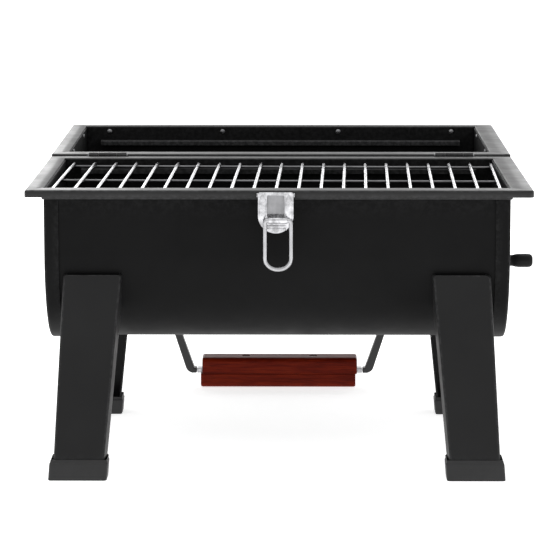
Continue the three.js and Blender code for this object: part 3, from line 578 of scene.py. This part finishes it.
def ledge(side, drop, name, matrix, body, replaces):
    """An angle strip along the long wall, its free edge turned down."""
    wall, free = INSIDE_Y - GAP, INSIDE_Y - GAP - LEDGE_WIDTH
    bend, inner_bend = 1.6, 0.8
    centre = bend + 0.4
    section = [(wall, -drop)] + arc(free + bend, -drop - bend, bend, 90, 180, 5)
    section += [(free, -drop - LEDGE_FACE), (free + SHEET, -drop - LEDGE_FACE)]
    section += arc(free + centre, -drop - centre, inner_bend, 180, 90, 4) + [(wall, -drop - SHEET)]
    strip = prism([(side * y, z) for y, z in section], -LEDGE_HALF_LENGTH, LEDGE_HALF_LENGTH, "X")
    piece(name, [strip], matrix, body, COAT_INSIDE, "enamel", replaces, bevel=0.2, segments=2, sharp=50)


def dome(x, y, z, axis, radius=2.6, height=1.2):
    """A round rivet head standing on a face."""
    profile = [(0, -0.3), (radius, -0.3), (radius, 0.15)]
    for i in range(1, 6):
        a = i * pi / 12
        profile.append((radius * math.cos(a), 0.15 + (height - 0.15) * math.sin(a)))
    profile.append((0, height))
    return turned(profile, (x, y, z), axis, 24)


VENT_HOLES = [
    (VENT_CIRCLE * math.cos(math.radians(a)), VENT_CIRCLE * math.sin(math.radians(a)))
    for a in (90, 210, 330)
]


def hole(x0, x1, y, z, radius, sides=40):
    return prism([(y + a, z + b) for a, b in arc(0, 0, radius, 0, 360, sides)[:-1]], x0, x1, "X")


def pan(kind, matrix):
    """A firebox or lid: trough, end caps, rim and ledges. Only the firebox has a vent."""
    piece(
        f"{kind}_trough", [pan_shell()], matrix, kind, COAT, "enamel", [f"{kind}_shell"],
        bevel=0.25, segments=2, sharp=60,
    )
    vent = []
    radii = (2.6, 3.0, 3.4, 3.4)
    if kind == "firebox":
        wall = (END_X - 6, END_X + 6)
        vent = [hole(*wall, y, z - VENT_DROP, VENT_HOLE_RADIUS) for y, z in VENT_HOLES]
        vent.append(hole(*wall, 0, -VENT_DROP, VENT_BORE))
        radii = (2.0, 4.2, 3.4, 2.6)
    for side, name, holes in ((-1, "left", ()), (1, "right", vent)):
        nodes = [f"{kind}_end_{name}", f"{kind}_end_{name}_fold"]
        end_cap(side, f"{kind}_cap_{name}", matrix, kind, nodes, holes)
    piece(
        f"{kind}_rim_pressing", [loft(rim_rings(radii), cyclic=True)], matrix, kind, COAT_RIM,
        "enamel", [f"{kind}_rim"],
    )
    for side, name in ((-1, "front"), (1, "rear")):
        nodes = [f"{kind}_ledge_{name}"]
        ledge(side, LEDGE_DROPS[kind], f"{kind}_shelf_{name}", matrix, kind, nodes)


pan("firebox", FIREBOX)
pan("lid", LID)
RIVET_Z = -5.6
lid_rivets = [
    dome(x, side * INSIDE_Y, RIVET_Z, (0, -side, 0)) for side in (-1, 1) for x in (-183, -62, 62, 183)
]
lid_rivets += [
    dome(side * INSIDE_X, y, RIVET_Z, (-side, 0, 0)) for side in (-1, 1) for y in (-70, 70)
]
piece("lid_wall_rivets", lid_rivets, LID, "lid", STEEL, "zinc")


# ---- Grates --------------------------------------------------------------------------------------
def grate_wires(count, pitch, length, rod_z, radius, sides=16):
    xs = [(i - (count - 1) / 2) * pitch for i in range(count)]
    shells = []
    for x in xs:
        lean = random.uniform(-0.25, 0.25)
        points = [(x + lean * t, length * (t - 0.5), rod_z) for t in (0, 0.2, 0.4, 0.6, 0.8, 1)]
        shells.append(wire(points, radius, sides, 0.5))
    return xs, shells


def weld_bead(x, y, z, radius):
    """A small squashed bead where two wires are welded."""
    rings = []
    for i in range(1, 6):
        a = pi * i / 6
        ring = []
        for k in range(12):
            b = 2 * pi * k / 12
            ring.append((
                x + radius * 1.5 * math.sin(a) * math.cos(b),
                y + radius * 1.5 * math.sin(a) * math.sin(b),
                z + radius * 0.8 * math.cos(a),
            ))
        rings.append(ring)
    return loft(rings, start=True, end=True)


ROD_COUNT, ROD_PITCH, ROD_LENGTH, ROD_RADIUS, ROD_Z = 21, 20.2, 228.0, 1.4, -4.7
CROSSBAR_YS, CROSSBAR_HALF_LENGTH, CROSSBAR_RADIUS, CROSSBAR_Z = (-111, -8, 111), 203.0, 1.3, -7.3
GRATE_TURN, GRATE_SHIFT = -1.2, 1  # degrees and mm: the loose grate lies a little askew
GRATE = FIREBOX @ Matrix.Translation((GRATE_SHIFT, 0, 0))
GRATE = GRATE @ Matrix.Rotation(math.radians(GRATE_TURN), 4, "Z")

rod_xs, rods = grate_wires(ROD_COUNT, ROD_PITCH, ROD_LENGTH, ROD_Z, ROD_RADIUS, 18)
crossbar_xs = (-CROSSBAR_HALF_LENGTH, -100, 0, 100, CROSSBAR_HALF_LENGTH)
crossbars = [
    wire([(x, y, CROSSBAR_Z) for x in crossbar_xs], CROSSBAR_RADIUS, 16, 0.5) for y in CROSSBAR_YS
]
beads = [weld_bead(x, y, -6.4, 0.6) for x in rod_xs for y in CROSSBAR_YS]
piece("cooking_grate_rods", rods, GRATE, "cooking_grate", CHROME, "chrome", ["cooking_grate"], wear=0)
# The crossbars and beads take the darker wire copy: painted shade under the rods.
piece("cooking_grate_crossbars", crossbars + beads, GRATE, "cooking_grate", CROSSBAR, "chrome", wear=0)

COAL_ROD_COUNT, COAL_ROD_PITCH, COAL_ROD_LENGTH, COAL_ROD_Z = 15, 25.0, 221.5, -96.3
COAL_CROSSBAR_YS, COAL_CROSSBAR_HALF_LENGTH, COAL_CROSSBAR_Z = (-80, 0, 80), 177, -99.7
COAL_WIRE_RADIUS = 2.0

coal_xs, coal_wires = grate_wires(
    COAL_ROD_COUNT, COAL_ROD_PITCH, COAL_ROD_LENGTH, COAL_ROD_Z, COAL_WIRE_RADIUS, 14
)
crossbar_xs = (-COAL_CROSSBAR_HALF_LENGTH, 0, COAL_CROSSBAR_HALF_LENGTH)
coal_wires += [
    wire([(x, y, COAL_CROSSBAR_Z) for x in crossbar_xs], COAL_WIRE_RADIUS, 14, 0.5)
    for y in COAL_CROSSBAR_YS
]
coal_wires += [weld_bead(x, y, -98.1, 1.4) for x in coal_xs for y in COAL_CROSSBAR_YS]
piece(
    "charcoal_grate_wires", coal_wires, FIREBOX, "charcoal_grate", COAT_INSIDE, "enamel",
    ["charcoal_grate"], wear=0,
)


# ---- Legs and foot caps --------------------------------------------------------------------------
LEG_DROP, LEG_TOP_X = 78.0, 165.2
FRONT_FOOT_X, REAR_FOOT_X = 177.6, 181.8
LEG_TOP_INSET, LEG_FOOT_INSET = 14.0, -24.3
LEG_TOP_WIDTH, LEG_FOOT_WIDTH = 52.1, 44.4
LEG_TOP_DEPTH, LEG_FOOT_DEPTH = 28.0, 24.0
LEG_SHEET, LEG_FLARE = 1.5, 1.5
LUG_X, LUG_ANGLE = 166, math.radians(30)  # where the leg's lug lies on the pan's bend
CAP_FLOOR, CAP_MOUTH = 3.0, 18.0


def leg_place(z, foot_x):
    """How far down a leg a height is, and the leg's middle there, at front right."""
    down = (-LEG_DROP - z) / (RIM_HEIGHT - LEG_DROP)
    x = LEG_TOP_X + down * (foot_x - LEG_TOP_X)
    y = LEG_TOP_INSET + down * (LEG_FOOT_INSET - LEG_TOP_INSET) - HALF_Y
    return down, x, y


def leg_section(half_in, half_out, depth, bend=2.4, steps=5):
    """A pressed channel's closed section: the face on v = 0, its sides spread a little."""

    def skin(t):
        radius = bend - t
        a, b = -half_in + t, half_out - t
        points = [(a - LEG_FLARE, depth), (a - LEG_FLARE * 0.5, depth * 0.5)]
        points += arc(a + radius, t + radius, radius, 180, 270, steps)
        points += arc(b - radius, t + radius, radius, 270, 360, steps)
        return points + [(b + LEG_FLARE * 0.5, depth * 0.5), (b + LEG_FLARE, depth)]

    return skin(0) + list(reversed(skin(LEG_SHEET)))


def leg_shell(foot_x, corner_in, corner_out):
    """One leg's channel, from its rounded top down to the floor of its foot cap."""
    bottom = CAP_FLOOR + GAP - RIM_HEIGHT
    straight_top = -LEG_DROP - 5
    heights = [-LEG_DROP - r for r in (0, 0.25, 0.9, 1.9, 3.2, 4.6)]
    heights += [straight_top + (bottom - straight_top) * i / 8 for i in range(9)]
    rings = []
    for z in heights:
        down, x, y = leg_place(z, foot_x)
        below = -LEG_DROP - z
        scale = 1 + down * (LEG_FOOT_WIDTH / LEG_TOP_WIDTH - 1)
        depth = LEG_TOP_DEPTH * (1 + down * (LEG_FOOT_DEPTH / LEG_TOP_DEPTH - 1))
        halves = []
        for radius in (corner_in, corner_out):
            above = max(radius - below, 0)
            cut = radius - math.sqrt(radius ** 2 - above ** 2)
            halves.append(LEG_TOP_WIDTH / 2 * scale - cut)
        rings.append([(x + u, y + v, z) for u, v in leg_section(*halves, depth)])
    return loft(rings, start=True, end=True)


def leg_tab():
    """The lug inside the channel that is bolted to the pan's bend."""
    turn = Matrix.Rotation(LUG_ANGLE + pi, 4, "X")
    y = -BEND_Y - PAN_CORNER * math.cos(LUG_ANGLE)
    z = BEND_Z - PAN_CORNER * math.sin(LUG_ANGLE)
    lug = slab(-24.2, 23.4, GAP, GAP + LEG_SHEET, -10, 10)
    return moved(lug, Matrix.Translation((LUG_X, y, z)) @ turn)


def foot_cap_shell(foot_x):
    """A moulded cap round a foot: outside up to the mouth's rolled edge, then down the pocket."""
    down = 1 - CAP_MOUTH / (RIM_HEIGHT - LEG_DROP)
    pocket_x = (LEG_TOP_WIDTH + down * (LEG_FOOT_WIDTH - LEG_TOP_WIDTH)) / 2 + LEG_FLARE + GAP
    pocket_depth = LEG_TOP_DEPTH + down * (LEG_FOOT_DEPTH - LEG_TOP_DEPTH)
    pocket_y = pocket_depth / 2 + GAP
    rows = [
        (1.0, 0.0), (1.75, 0.45), (1.8, 1.4), (1.8, 13.9), (1.65, 14.7), (1.25, 15.1),
        (0.95, 15.5), (0.9, 17.5), (0.7, 17.95), (0.25, 18.0), (0.05, 17.7), (0, 17.0), (0, 3.2),
    ]
    rings = []
    for grow, height in rows:
        _, x, y = leg_place(height - RIM_HEIGHT, foot_x)
        outline = rounded(pocket_x + grow, pocket_y + grow, [0.6 + 1.35 * grow] * 4)
        rings.append([(x + u, y + pocket_depth / 2 + v, height - RIM_HEIGHT) for u, v in outline])
    return loft(rings, start=True, end=True)


def mirror(shell, right, front):
    vertices, faces = shell
    sx, sy = (1 if right else -1), (1 if front else -1)
    return [(sx * x, sy * y, z) for x, y, z in vertices], faces


body_block = prism(pan_outline(GAP, 20), 60, 240, "X")
for corner, right, front in (
    ("front_left", False, True), ("front_right", True, True),
    ("rear_left", False, False), ("rear_right", True, False),
):
    radii = (1.2, 3.8) if right else (1.4, 2.0)
    foot_x = FRONT_FOOT_X if front else REAR_FOOT_X
    channel = mirror(leg_shell(foot_x, *radii), right, front)
    leg = mesh_object(f"leg_{corner}_channel", [channel], FIREBOX)
    carve(leg, [mirror(body_block, right, front)], FIREBOX)
    done(leg, "firebox", COAT_LEG, "enamel", [f"leg_{corner}"], bevel=0.3, segments=2, sharp=50)
    tab = mesh_object(f"leg_{corner}_lug", [mirror(leg_tab(), right, front)], FIREBOX)
    done(tab, "firebox", COAT_LEG, "enamel", bevel=0.3, segments=2)
    piece(
        f"foot_{corner}_cap", [mirror(foot_cap_shell(foot_x), right, front)], FIREBOX,
        "firebox", CAP, "plastic", [f"foot_cap_{corner}"], wear=0.3,
    )

# ---- Hinges --------------------------------------------------------------------------------------
END_KNUCKLE = 9.5
half_hinge = HINGE_WIDTH / 2
OUTER = [(-half_hinge, END_KNUCKLE - half_hinge), (half_hinge - END_KNUCKLE, half_hinge)]
MIDDLE = [(END_KNUCKLE + GAP - half_hinge, half_hinge - END_KNUCKLE - GAP)]


def hinge_leaf(side, knuckles):
    """A leaf behind the rim's skirt and the knuckles that it carries round the pin."""
    low, high = sorted((side * 3.7, side * 2.7))
    shells = [slab(-half_hinge, half_hinge, low, high, -7.1, -1.1)]
    for x0, x1 in knuckles:
        near, far = sorted((side * 1.75, side * 3.7))
        shells.append(slab(x0, x1, near, far, -1.9, 0.7))
        shells.append(pipe(2.4, 1.4, x0, x1))
    return shells


for side, x in (("left", -HINGE_X), ("right", HINGE_X)):
    place = Matrix.Translation((RIM_SHIFT + x, 0, 0))
    piece(
        f"hinge_{side}_fixed_leaf", hinge_leaf(-1, OUTER), HINGE @ place, "firebox", COAT_RIM, "enamel",
        [f"hinge_leaf_firebox_{side}"], bevel=0.12, segments=1, sharp=60,
    )
    piece(
        f"hinge_{side}_moving_leaf", hinge_leaf(1, MIDDLE), LID_HINGE @ place, "lid", COAT_RIM, "enamel",
        [f"hinge_leaf_lid_{side}"], bevel=0.12, segments=1, sharp=60,
    )
    end = half_hinge + GAP
    pin = [
        (0, -end - 0.8), (1.2, -end - 0.8), (1.8, -end - 0.5), (1.9, -end - 0.2), (1.9, -end),
        (1.1, -end), (1.1, end + 0.5), (0.8, end + 0.8), (0, end + 0.8),
    ]
    piece(
        f"hinge_{side}_rod", [turned(pin, axis=(1, 0, 0), sides=28)], HINGE @ place, "firebox",
        STEEL, "zinc", [f"hinge_pin_{side}"],
    )

# ---- Latch ---------------------------------------------------------------------------------------
LATCH_BACK = 17.6
PANEL_HALF, TONGUE_HALF = 13, 9.5
PANEL_BOTTOM, TONGUE_BOTTOM = -21, -38
RIVET_X, RIVET_DROP = 5, 33
half_latch = 15.75
LEVER_PIN_Y, LEVER_PIN_Z = -3, -4
PLATE_BACK, PLATE_FRONT, PLATE_BOTTOM = -7.4, -8.6, -37.3
WINDOW_HALF_X, WINDOW_HALF_Z, WINDOW_Z = 7.7, 9.9, -13.45
BARREL_Y, BARREL_Z = -10.8, -25.5

base = [
    slab(-PANEL_HALF, PANEL_HALF, LATCH_BACK - SHEET, LATCH_BACK, PANEL_BOTTOM, -11),
    slab(-TONGUE_HALF, TONGUE_HALF, LATCH_BACK - SHEET, LATCH_BACK, TONGUE_BOTTOM, PANEL_BOTTOM + 0.1),
]
for x0, x1 in ((-PANEL_HALF, 1 - PANEL_HALF), (PANEL_HALF - 1, PANEL_HALF)):
    base.append(slab(x0, x1, -5.5, -0.7, PANEL_BOTTOM, -1.4))
    base.append(slab(x0, x1, -5.5, LATCH_BACK, PANEL_BOTTOM, -10.6))
piece("latch_bracket", base, LATCH, "firebox", ZINC, "zinc", ["latch_base"], bevel=0.2, segments=2)
# The panel behind the window is darkened with the recess copy of zinc: painted shade.
panel = slab(-PANEL_HALF, PANEL_HALF, -6, -5, -20.3, -1.4)
piece("latch_panel", [panel], LATCH, "firebox", RECESS, "zinc", bevel=0.2, segments=2)
head = [
    (0, -2), (1.4, -1.9), (2.8, -1.35), (3.8, -0.5), (4, 0), (2, 0), (2, 3.3), (3.3, 3.3),
    (3.2, 3.9), (2.2, 4.7), (0, 5),
]
for side, x in (("left", -RIVET_X), ("right", RIVET_X)):
    at = (x, LATCH_BACK - 1.5, -RIVET_DROP)
    piece(
        f"latch_stud_{side}", [turned(head, at, (0, 1, 0), 28)], LATCH, "firebox", STEEL, "zinc",
        [f"latch_rivet_{side}"],
    )
pin_end = half_latch + GAP
pin = [
    (0, -pin_end - 1), (1.5, -pin_end - 1), (2, -pin_end - 0.6), (2, -pin_end), (1.2, -pin_end),
    (1.2, pin_end), (2, pin_end), (2, pin_end + 0.6), (1.5, pin_end + 1), (0, pin_end + 1),
]
axle = turned(pin, (0, LEVER_PIN_Y, LEVER_PIN_Z), (1, 0, 0), 28)
piece("latch_axle", [axle], LATCH, "firebox", ZINC, "zinc", ["latch_lever_pin"])

plate = [(half_latch - SHEET, -0.8), (-half_latch + SHEET, -0.8), (-half_latch, -2)]
plate += arc(0, PLATE_BOTTOM + half_latch, half_latch, 180, 360, 36) + [(half_latch, -2)]
lever = mesh_object("latch_cover", [prism(plate, PLATE_FRONT, PLATE_BACK, "Y")], LATCH)
window = prism(rounded(WINDOW_HALF_X, WINDOW_HALF_Z, [1.2] * 4), -30, 30)
carve(lever, [window], LATCH @ Matrix.Translation((0, 0, WINDOW_Z)) @ Matrix.Rotation(pi / 2, 4, "X"))
done(lever, "latch_lever", ZINC, "zinc", ["latch_lever"], bevel=0.35, segments=3)


def rib(x, z0, z1, width, height, y=PLATE_FRONT, bars=14):
    """A long pressed rib standing on the front of the latch's cover."""
    rings = []
    for i in range(bars + 1):
        t = i / bars
        z = z0 + (z1 - z0) * t
        swell = min(1, 4.5 * min(t, 1 - t) + 0.05) ** 0.5
        rings.append([
            (x + width / 2 * swell * math.cos(a), y + 0.15 - (height + 0.15) * swell * math.sin(a), z)
            for a in (pi * k / 10 for k in range(11))
        ])
    return loft(rings, start=True, end=True)


ribs = [rib(side * 11.6, -2.6, -26.5, 5.6, 0.95) for side in (-1, 1)]
ribs += [rib(side * 8.6, -3.4, -22.6, 1.1, 0.5) for side in (-1, 1)]
for z in (-30.4, -33.0):
    vertices, faces = rib(0, -9.5, 9.5, 1.5, 0.55)
    ribs.append(([(v[2], v[1], v[0] + z) for v in vertices], faces))
ribs += [dome(x, PLATE_FRONT, -33.6, (0, -1, 0), 1.5, 0.8) for x in (-7.5, 7.5)]
piece("latch_cover_ribs", ribs, LATCH, "latch_lever", ZINC, "zinc", sharp=60)
cheeks = [
    slab(x, x + SHEET, -7.6, -1.4, -24, -2.4) for x in (-half_latch, half_latch - SHEET)
]
cheek_piece = mesh_object("latch_cover_cheeks", cheeks, LATCH)
carve(cheek_piece, [hole(-20, 20, LEVER_PIN_Y, LEVER_PIN_Z, 1.5, 28)], LATCH)
done(cheek_piece, "latch_lever", ZINC, "zinc", bevel=0.2, segments=2)
barrel = shift(pipe(2.9, 2.15, -6.4, 10.4, 36, 0.3), 0, BARREL_Y, BARREL_Z)
piece("latch_barrel", [barrel], LATCH, "latch_lever", ZINC, "zinc")

BAIL_LENGTH, BAIL_HALF, BAIL_ROUND = 43.7, 11.5, 10.2
BAIL_X, BAIL_BEND, BAIL_RADIUS = 2, 2.2, 1.9
bail_left, bail_right = BAIL_X - BAIL_HALF, BAIL_X + BAIL_HALF
round_z = BARREL_Z - BAIL_LENGTH + BAIL_ROUND
loop_end = [
    (BAIL_X + BAIL_HALF * math.cos(t), BARREL_Y, round_z + BAIL_ROUND * math.sin(t))
    for t in (pi + pi * k / 24 for k in range(25))
]
left_side = [(-3, BARREL_Y, BARREL_Z), (bail_left, BARREL_Y, BARREL_Z), loop_end[0]]
right_side = [loop_end[-1], (bail_right, BARREL_Y, BARREL_Z), (7, BARREL_Y, BARREL_Z)]
bail_path = bent(left_side, BAIL_BEND)[:-1]
bail_path += [Vector(point) for point in loop_end]
bail_path += bent(right_side, BAIL_BEND)[1:]
piece(
    "latch_loop", [wire(bail_path, BAIL_RADIUS, 22, 0.5)], LATCH, "latch_bail", NICKEL, "zinc",
    ["latch_bail"], wear=0,
)

KEEPER = LID @ Matrix.Translation((LATCH_X + 2, HALF_Y, 0))
hook = [(-17.6, -34), (-16.4, -34), (-16.4, -18.4)]
hook += arc(-15.0, -18.4, 1.4, 180, 90, 5)[1:]
hook += [(5.0, -17.0)] + arc(5.0, -17.8, 0.8, 90, 0, 4)[1:] + [(5.8, -20.6), (7, -20.6)]
hook += arc(5.2, -17.6, 1.8, 0, 90, 5) + [(-14.8, -15.8)] + arc(-15.6, -17.8, 2.0, 90, 180, 5)
piece(
    "lid_keeper_hook", [prism(hook, -7, 7, "X")], KEEPER, "lid", ZINC, "zinc", ["latch_keeper"],
    bevel=0.25, segments=2,
)
keeper_rivets = [dome(x, -16.4, -28, (0, 1, 0), 2.4, 1.0) for x in (-3.6, 3.6)]
piece("lid_keeper_rivets", keeper_rivets, KEEPER, "lid", STEEL, "zinc")

# ---- Vent ----------------------------------------------------------------------------------------
disc = [(28.3, 0.3), (29, 0.7), (29, 1.1), (28.5, 1.5), (27.2, 1.5), (26.2, 1.15), (0, 1.15)]
damper = mesh_object("vent_damper_disc", [turned([(0, 0.3)] + disc, axis=(1, 0, 0), sides=72)], VENT)
bores = [hole(-1, 4, y, z, VENT_HOLE_RADIUS) for y, z in VENT_HOLES]
carve(damper, bores + [hole(-1, 4, 0, 0, VENT_BORE)], VENT)
done(damper, "vent_damper", COAT, "enamel", ["vent_disc"], bevel=0.15, segments=2, sharp=50)
stud = [
    (0, -2.5), (4.5, -2.5), (4.5, -1.5), (2.5, -1.5), (2.5, 1.9), (5, 1.9), (4.9, 2.5), (4.2, 3.3),
    (2.9, 3.9), (1.4, 4.2), (0, 4.3),
]
piece("vent_damper_stud", [turned(stud, axis=(1, 0, 0))], VENT, "firebox", STEEL, "zinc", ["vent_rivet"])
KNOB_LENGTH, KNOB_DROP = 28.3, 20.6
knob = [
    (0, 0), (5.2, 0), (5.4, 0.3), (5.4, 2.2), (5.25, 3.2), (5.2, 4), (5.2, 8.2), (5.35, 9.4),
    (5.75, 11), (6.1, 12.6), (6.35, 15.5), (6.4, KNOB_LENGTH - 4.6), (6.1, KNOB_LENGTH - 2.7),
    (5.3, KNOB_LENGTH - 1.2), (3.6, KNOB_LENGTH - 0.2), (0, KNOB_LENGTH),
]
piece(
    "vent_damper_knob", [turned(knob, (1.8, 0, -KNOB_DROP), (1, 0, 0), 48)], VENT, "vent_damper",
    KNOB, "plastic", ["vent_knob"], sharp=60,
)

# ---- Handle --------------------------------------------------------------------------------------
CROWN = -PAN_DEPTH
PAD_X, ARM_TOP_IN_X, ARM_TOP_OUT_X = 125, 120.9, 127.6
ARM_END_X, ARM_END_HALF_HEIGHT = 86.4, 2.7
ARM_HALF_DEPTH, PAD_HALF_DEPTH, PAD_BOLT_Y = 6, 17, 12
TANG_HALF_X, TANG_HALF_Y, TANG_HALF_Z = 86, 6, 2.5
GRIP_HALF_LENGTH, GRIP_HALF_DEPTH = 80.5, 15.0
UPPER_HEIGHT, LOWER_HEIGHT, LOWER_SHIFT = 17.0, 14.2, -1.5  # the lower half sits a little askew
GRIP_SCREW_X = 35
foot = CROWN - GAP - 2


def quadratic(a, b, c, steps=6):
    return [
        tuple((1 - t) ** 2 * p + 2 * t * (1 - t) * q + t * t * r for p, q, r in zip(a, b, c))
        for t in (i / steps for i in range(steps + 1))
    ]


for side, name in ((-1, "left"), (1, "right")):
    low, high = -ARM_END_HALF_HEIGHT - TANG_DROP, ARM_END_HALF_HEIGHT - TANG_DROP
    outline = [(ARM_TOP_IN_X, foot), (88.9, high - 0.3), (ARM_END_X, high), (ARM_END_X, low)]
    outline += quadratic((91.2, low), (96.4, low + 1.3), (97.9, low + 6.1))
    outline = [(side * x, z) for x, z in outline + [(ARM_TOP_OUT_X, foot)]]
    piece(
        f"handle_{name}_bracket", [prism(outline, -ARM_HALF_DEPTH, ARM_HALF_DEPTH, "Y")], HANDLE,
        "lid", COAT_ARM, "enamel", [f"handle_arm_{name}"], bevel=1.1, segments=3,
    )
    x0, x1 = side * PAD_X - 13, side * PAD_X + 13
    pad = slab(x0, x1, -PAD_HALF_DEPTH, PAD_HALF_DEPTH, foot, CROWN - GAP)
    piece(f"handle_{name}_pad", [pad], HANDLE, "lid", COAT_ARM, "enamel", bevel=0.6, segments=2)
    for place, y in (("front", -PAD_BOLT_Y), ("rear", PAD_BOLT_Y)):
        head = [(0, 0), (2.6, 0), (4.0, 0.5), (4.6, 1.5), (4.6, 3), (2.5, 3), (2.5, 10), (0, 10)]
        at = (side * PAD_X, y, CROWN - 5.6)
        nut = turned([(0, 4.1), (4.4, 4.1), (4.4, 7.7), (0, 7.7)], at, (0, 0, 1), 6)
        piece(
            f"handle_{name}_screw_{place}", [turned(head, at, (0, 0, 1), 28), nut], HANDLE,
            "lid", STEEL, "zinc", [f"handle_bolt_{name}_{place}"],
        )

tang = slab(-TANG_HALF_X, TANG_HALF_X, -TANG_HALF_Y, TANG_HALF_Y, -TANG_HALF_Z, TANG_HALF_Z)
piece(
    "handle_bar", [shift(tang, z=-TANG_DROP)], HANDLE, "lid", ZINC, "zinc", ["handle_tang"],
    bevel=0.6, segments=3,
)


def grip_section(height):
    """Half of the grip's section in (Y, Z), flat on z = 0.15."""
    half, curve = GRIP_HALF_DEPTH, 6.0
    side_z = height - curve
    points = [(-half + 0.4, 0.15), (half - 0.4, 0.15), (half, 0.6), (half, side_z)]
    points += quadratic((half, side_z), (half, height), (half - curve, height), 10)[1:]
    points += quadratic((curve - half, height), (-half, height), (-half, side_z), 10)
    return points + [(-half, 0.6)]


end_rows = ((0, 1.6), (0.3, 0.8), (1, 0.25), (2, 0))  # how far in from the end, how much smaller
stations = [(along - GRIP_HALF_LENGTH, shrink) for along, shrink in end_rows]
stations += [(-40, 0), (0, 0), (40, 0)]
stations += [(GRIP_HALF_LENGTH - along, shrink) for along, shrink in reversed(end_rows)]
for name, sign, height, offset in (
    ("upper", 1, UPPER_HEIGHT, 0.0), ("lower", -1, LOWER_HEIGHT, LOWER_SHIFT),
):
    rings = []
    for x, shrink in stations:
        ring = []
        for y, z in grip_section(height):
            y *= 1 - shrink / GRIP_HALF_DEPTH
            z = z if z < 0.7 else max(z - shrink * (z / height), 0.7)
            ring.append((x + offset, y, sign * z - SEAM_DROP))
        rings.append(ring)
    half_grip = mesh_object(f"grip_{name}_half", [loft(rings, start=True, end=True)], HANDLE)
    tools = [slab(-90, 90, -6.3, 6.3, -2.8 - TANG_DROP, 2.8 - TANG_DROP)]
    for x in (-GRIP_SCREW_X, GRIP_SCREW_X):
        floor = sign * (height - 3.4) - SEAM_DROP
        cone = [(0, 0), (2.4, 0), (4.1, 0.9), (4.7, 12), (0, 12)]
        tools.append(turned(cone, (x, 0, floor), (0, 0, sign), 32))
    carve(half_grip, tools, HANDLE)
    done(
        half_grip, "lid", WOOD, "wood", [f"grip_{name}"], bevel=0.3, segments=2, sharp=50, wear=0,
    )

for x, name in ((-GRIP_SCREW_X, "left"), (GRIP_SCREW_X, "right")):
    low, high = 0.8 - LOWER_HEIGHT, UPPER_HEIGHT - 0.8
    screw = [
        (0, low), (2.4, low), (3.6, low + 0.3), (4, low + 0.8), (4, low + 2.2), (2, low + 2.2),
        (2, high - 2.2), (4, high - 2.2), (4, high - 0.8), (3.6, high - 0.3), (2.4, high), (0, high),
    ]
    shaft = turned(screw, (x, 0, -SEAM_DROP), (0, 0, 1), 32)
    head = mesh_object(f"grip_{name}_screw", [shaft], HANDLE)
    for across, along in ((2.6, 0.45), (0.45, 2.6)):  # the two slots of the cross in each end
        slots = [
            slab(x - across, x + across, -along, along, z - 1 - SEAM_DROP, z + 1 - SEAM_DROP)
            for z in (high, low)
        ]
        carve(head, slots, HANDLE)
    done(head, "lid", STEEL, "zinc", [f"grip_screw_{name}"], sharp=60)

# The leg bolts, hidden behind the legs, stay as their CAD nodes.
for corner in ("front_left", "front_right", "rear_left", "rear_right"):
    node = frame["nodes"][f"leg_bolt_{corner}"]
    node.data.materials.clear()
    node.data.materials.append(STEEL)

# ---- Studio --------------------------------------------------------------------------------------
floor_mesh = bpy.data.meshes.new("studio_floor")
bm = bmesh.new()
bmesh.ops.create_grid(bm, x_segments=8, y_segments=8, size=30)
bm.to_mesh(floor_mesh)
bm.free()
floor = bpy.data.objects.new("studio_floor", floor_mesh)
bpy.context.scene.collection.objects.link(floor)
paper = Nodes("studio_paper")
paper.set(Roughness=0.9, Specular_IOR_Level=0.1, Emission_Color=(1, 1, 1, 1), Emission_Strength=0.75)
paper_tone = paper.ramp(paper.noise(0.6), (0.3, (0.86,) * 3), (0.7, (0.88,) * 3))
floor_mesh.materials.append(paper.finish(paper_tone))

world = bpy.data.worlds.new("studio")
bpy.context.scene.world = world
world.use_nodes = True
world.node_tree.nodes["Background"].inputs["Color"].default_value = (1, 1, 1, 1)
world.node_tree.nodes["Background"].inputs["Strength"].default_value = 1.0


def softbox(name, place, target, width, height, power):
    lamp = bpy.data.lights.new(name, "AREA")
    lamp.shape = "RECTANGLE"
    lamp.size, lamp.size_y, lamp.energy = width, height, power
    thing = bpy.data.objects.new(name, lamp)
    thing.location = place
    thing.rotation_euler = (Vector(target) - Vector(place)).to_track_quat("-Z", "Y").to_euler()
    thing.visible_camera = False
    bpy.context.scene.collection.objects.link(thing)


softbox("light_above", (-0.3, 0.4, 2.6), (0, 0, 0.1), 2.4, 2.0, 26)
softbox("light_back_left", (-0.78, 3.0, 1.35), (-0.2, 0, 0.25), 0.8, 2.2, 17)
softbox("light_back_right", (0.84, 3.0, 1.35), (0.2, 0, 0.25), 0.8, 2.2, 11)

CAMERA_PITCH, CAMERA_YAW = 8.52, 0.42  # degrees down, and to the left
camera_data = bpy.data.cameras.new("camera")
camera_data.lens = 189.95
camera_data.sensor_width = 36
camera_data.clip_end = 100
camera = bpy.data.objects.new("camera", camera_data)
front = RIM @ Vector((0, -HALF_Y, 0))
camera.location = front + Vector((0.015, -2.551, 0.3065))
camera.rotation_euler = (math.radians(90 - CAMERA_PITCH), 0, math.radians(CAMERA_YAW))
bpy.context.scene.collection.objects.link(camera)
bpy.context.scene.camera = camera
bpy.context.scene.view_settings.view_transform = "Standard"
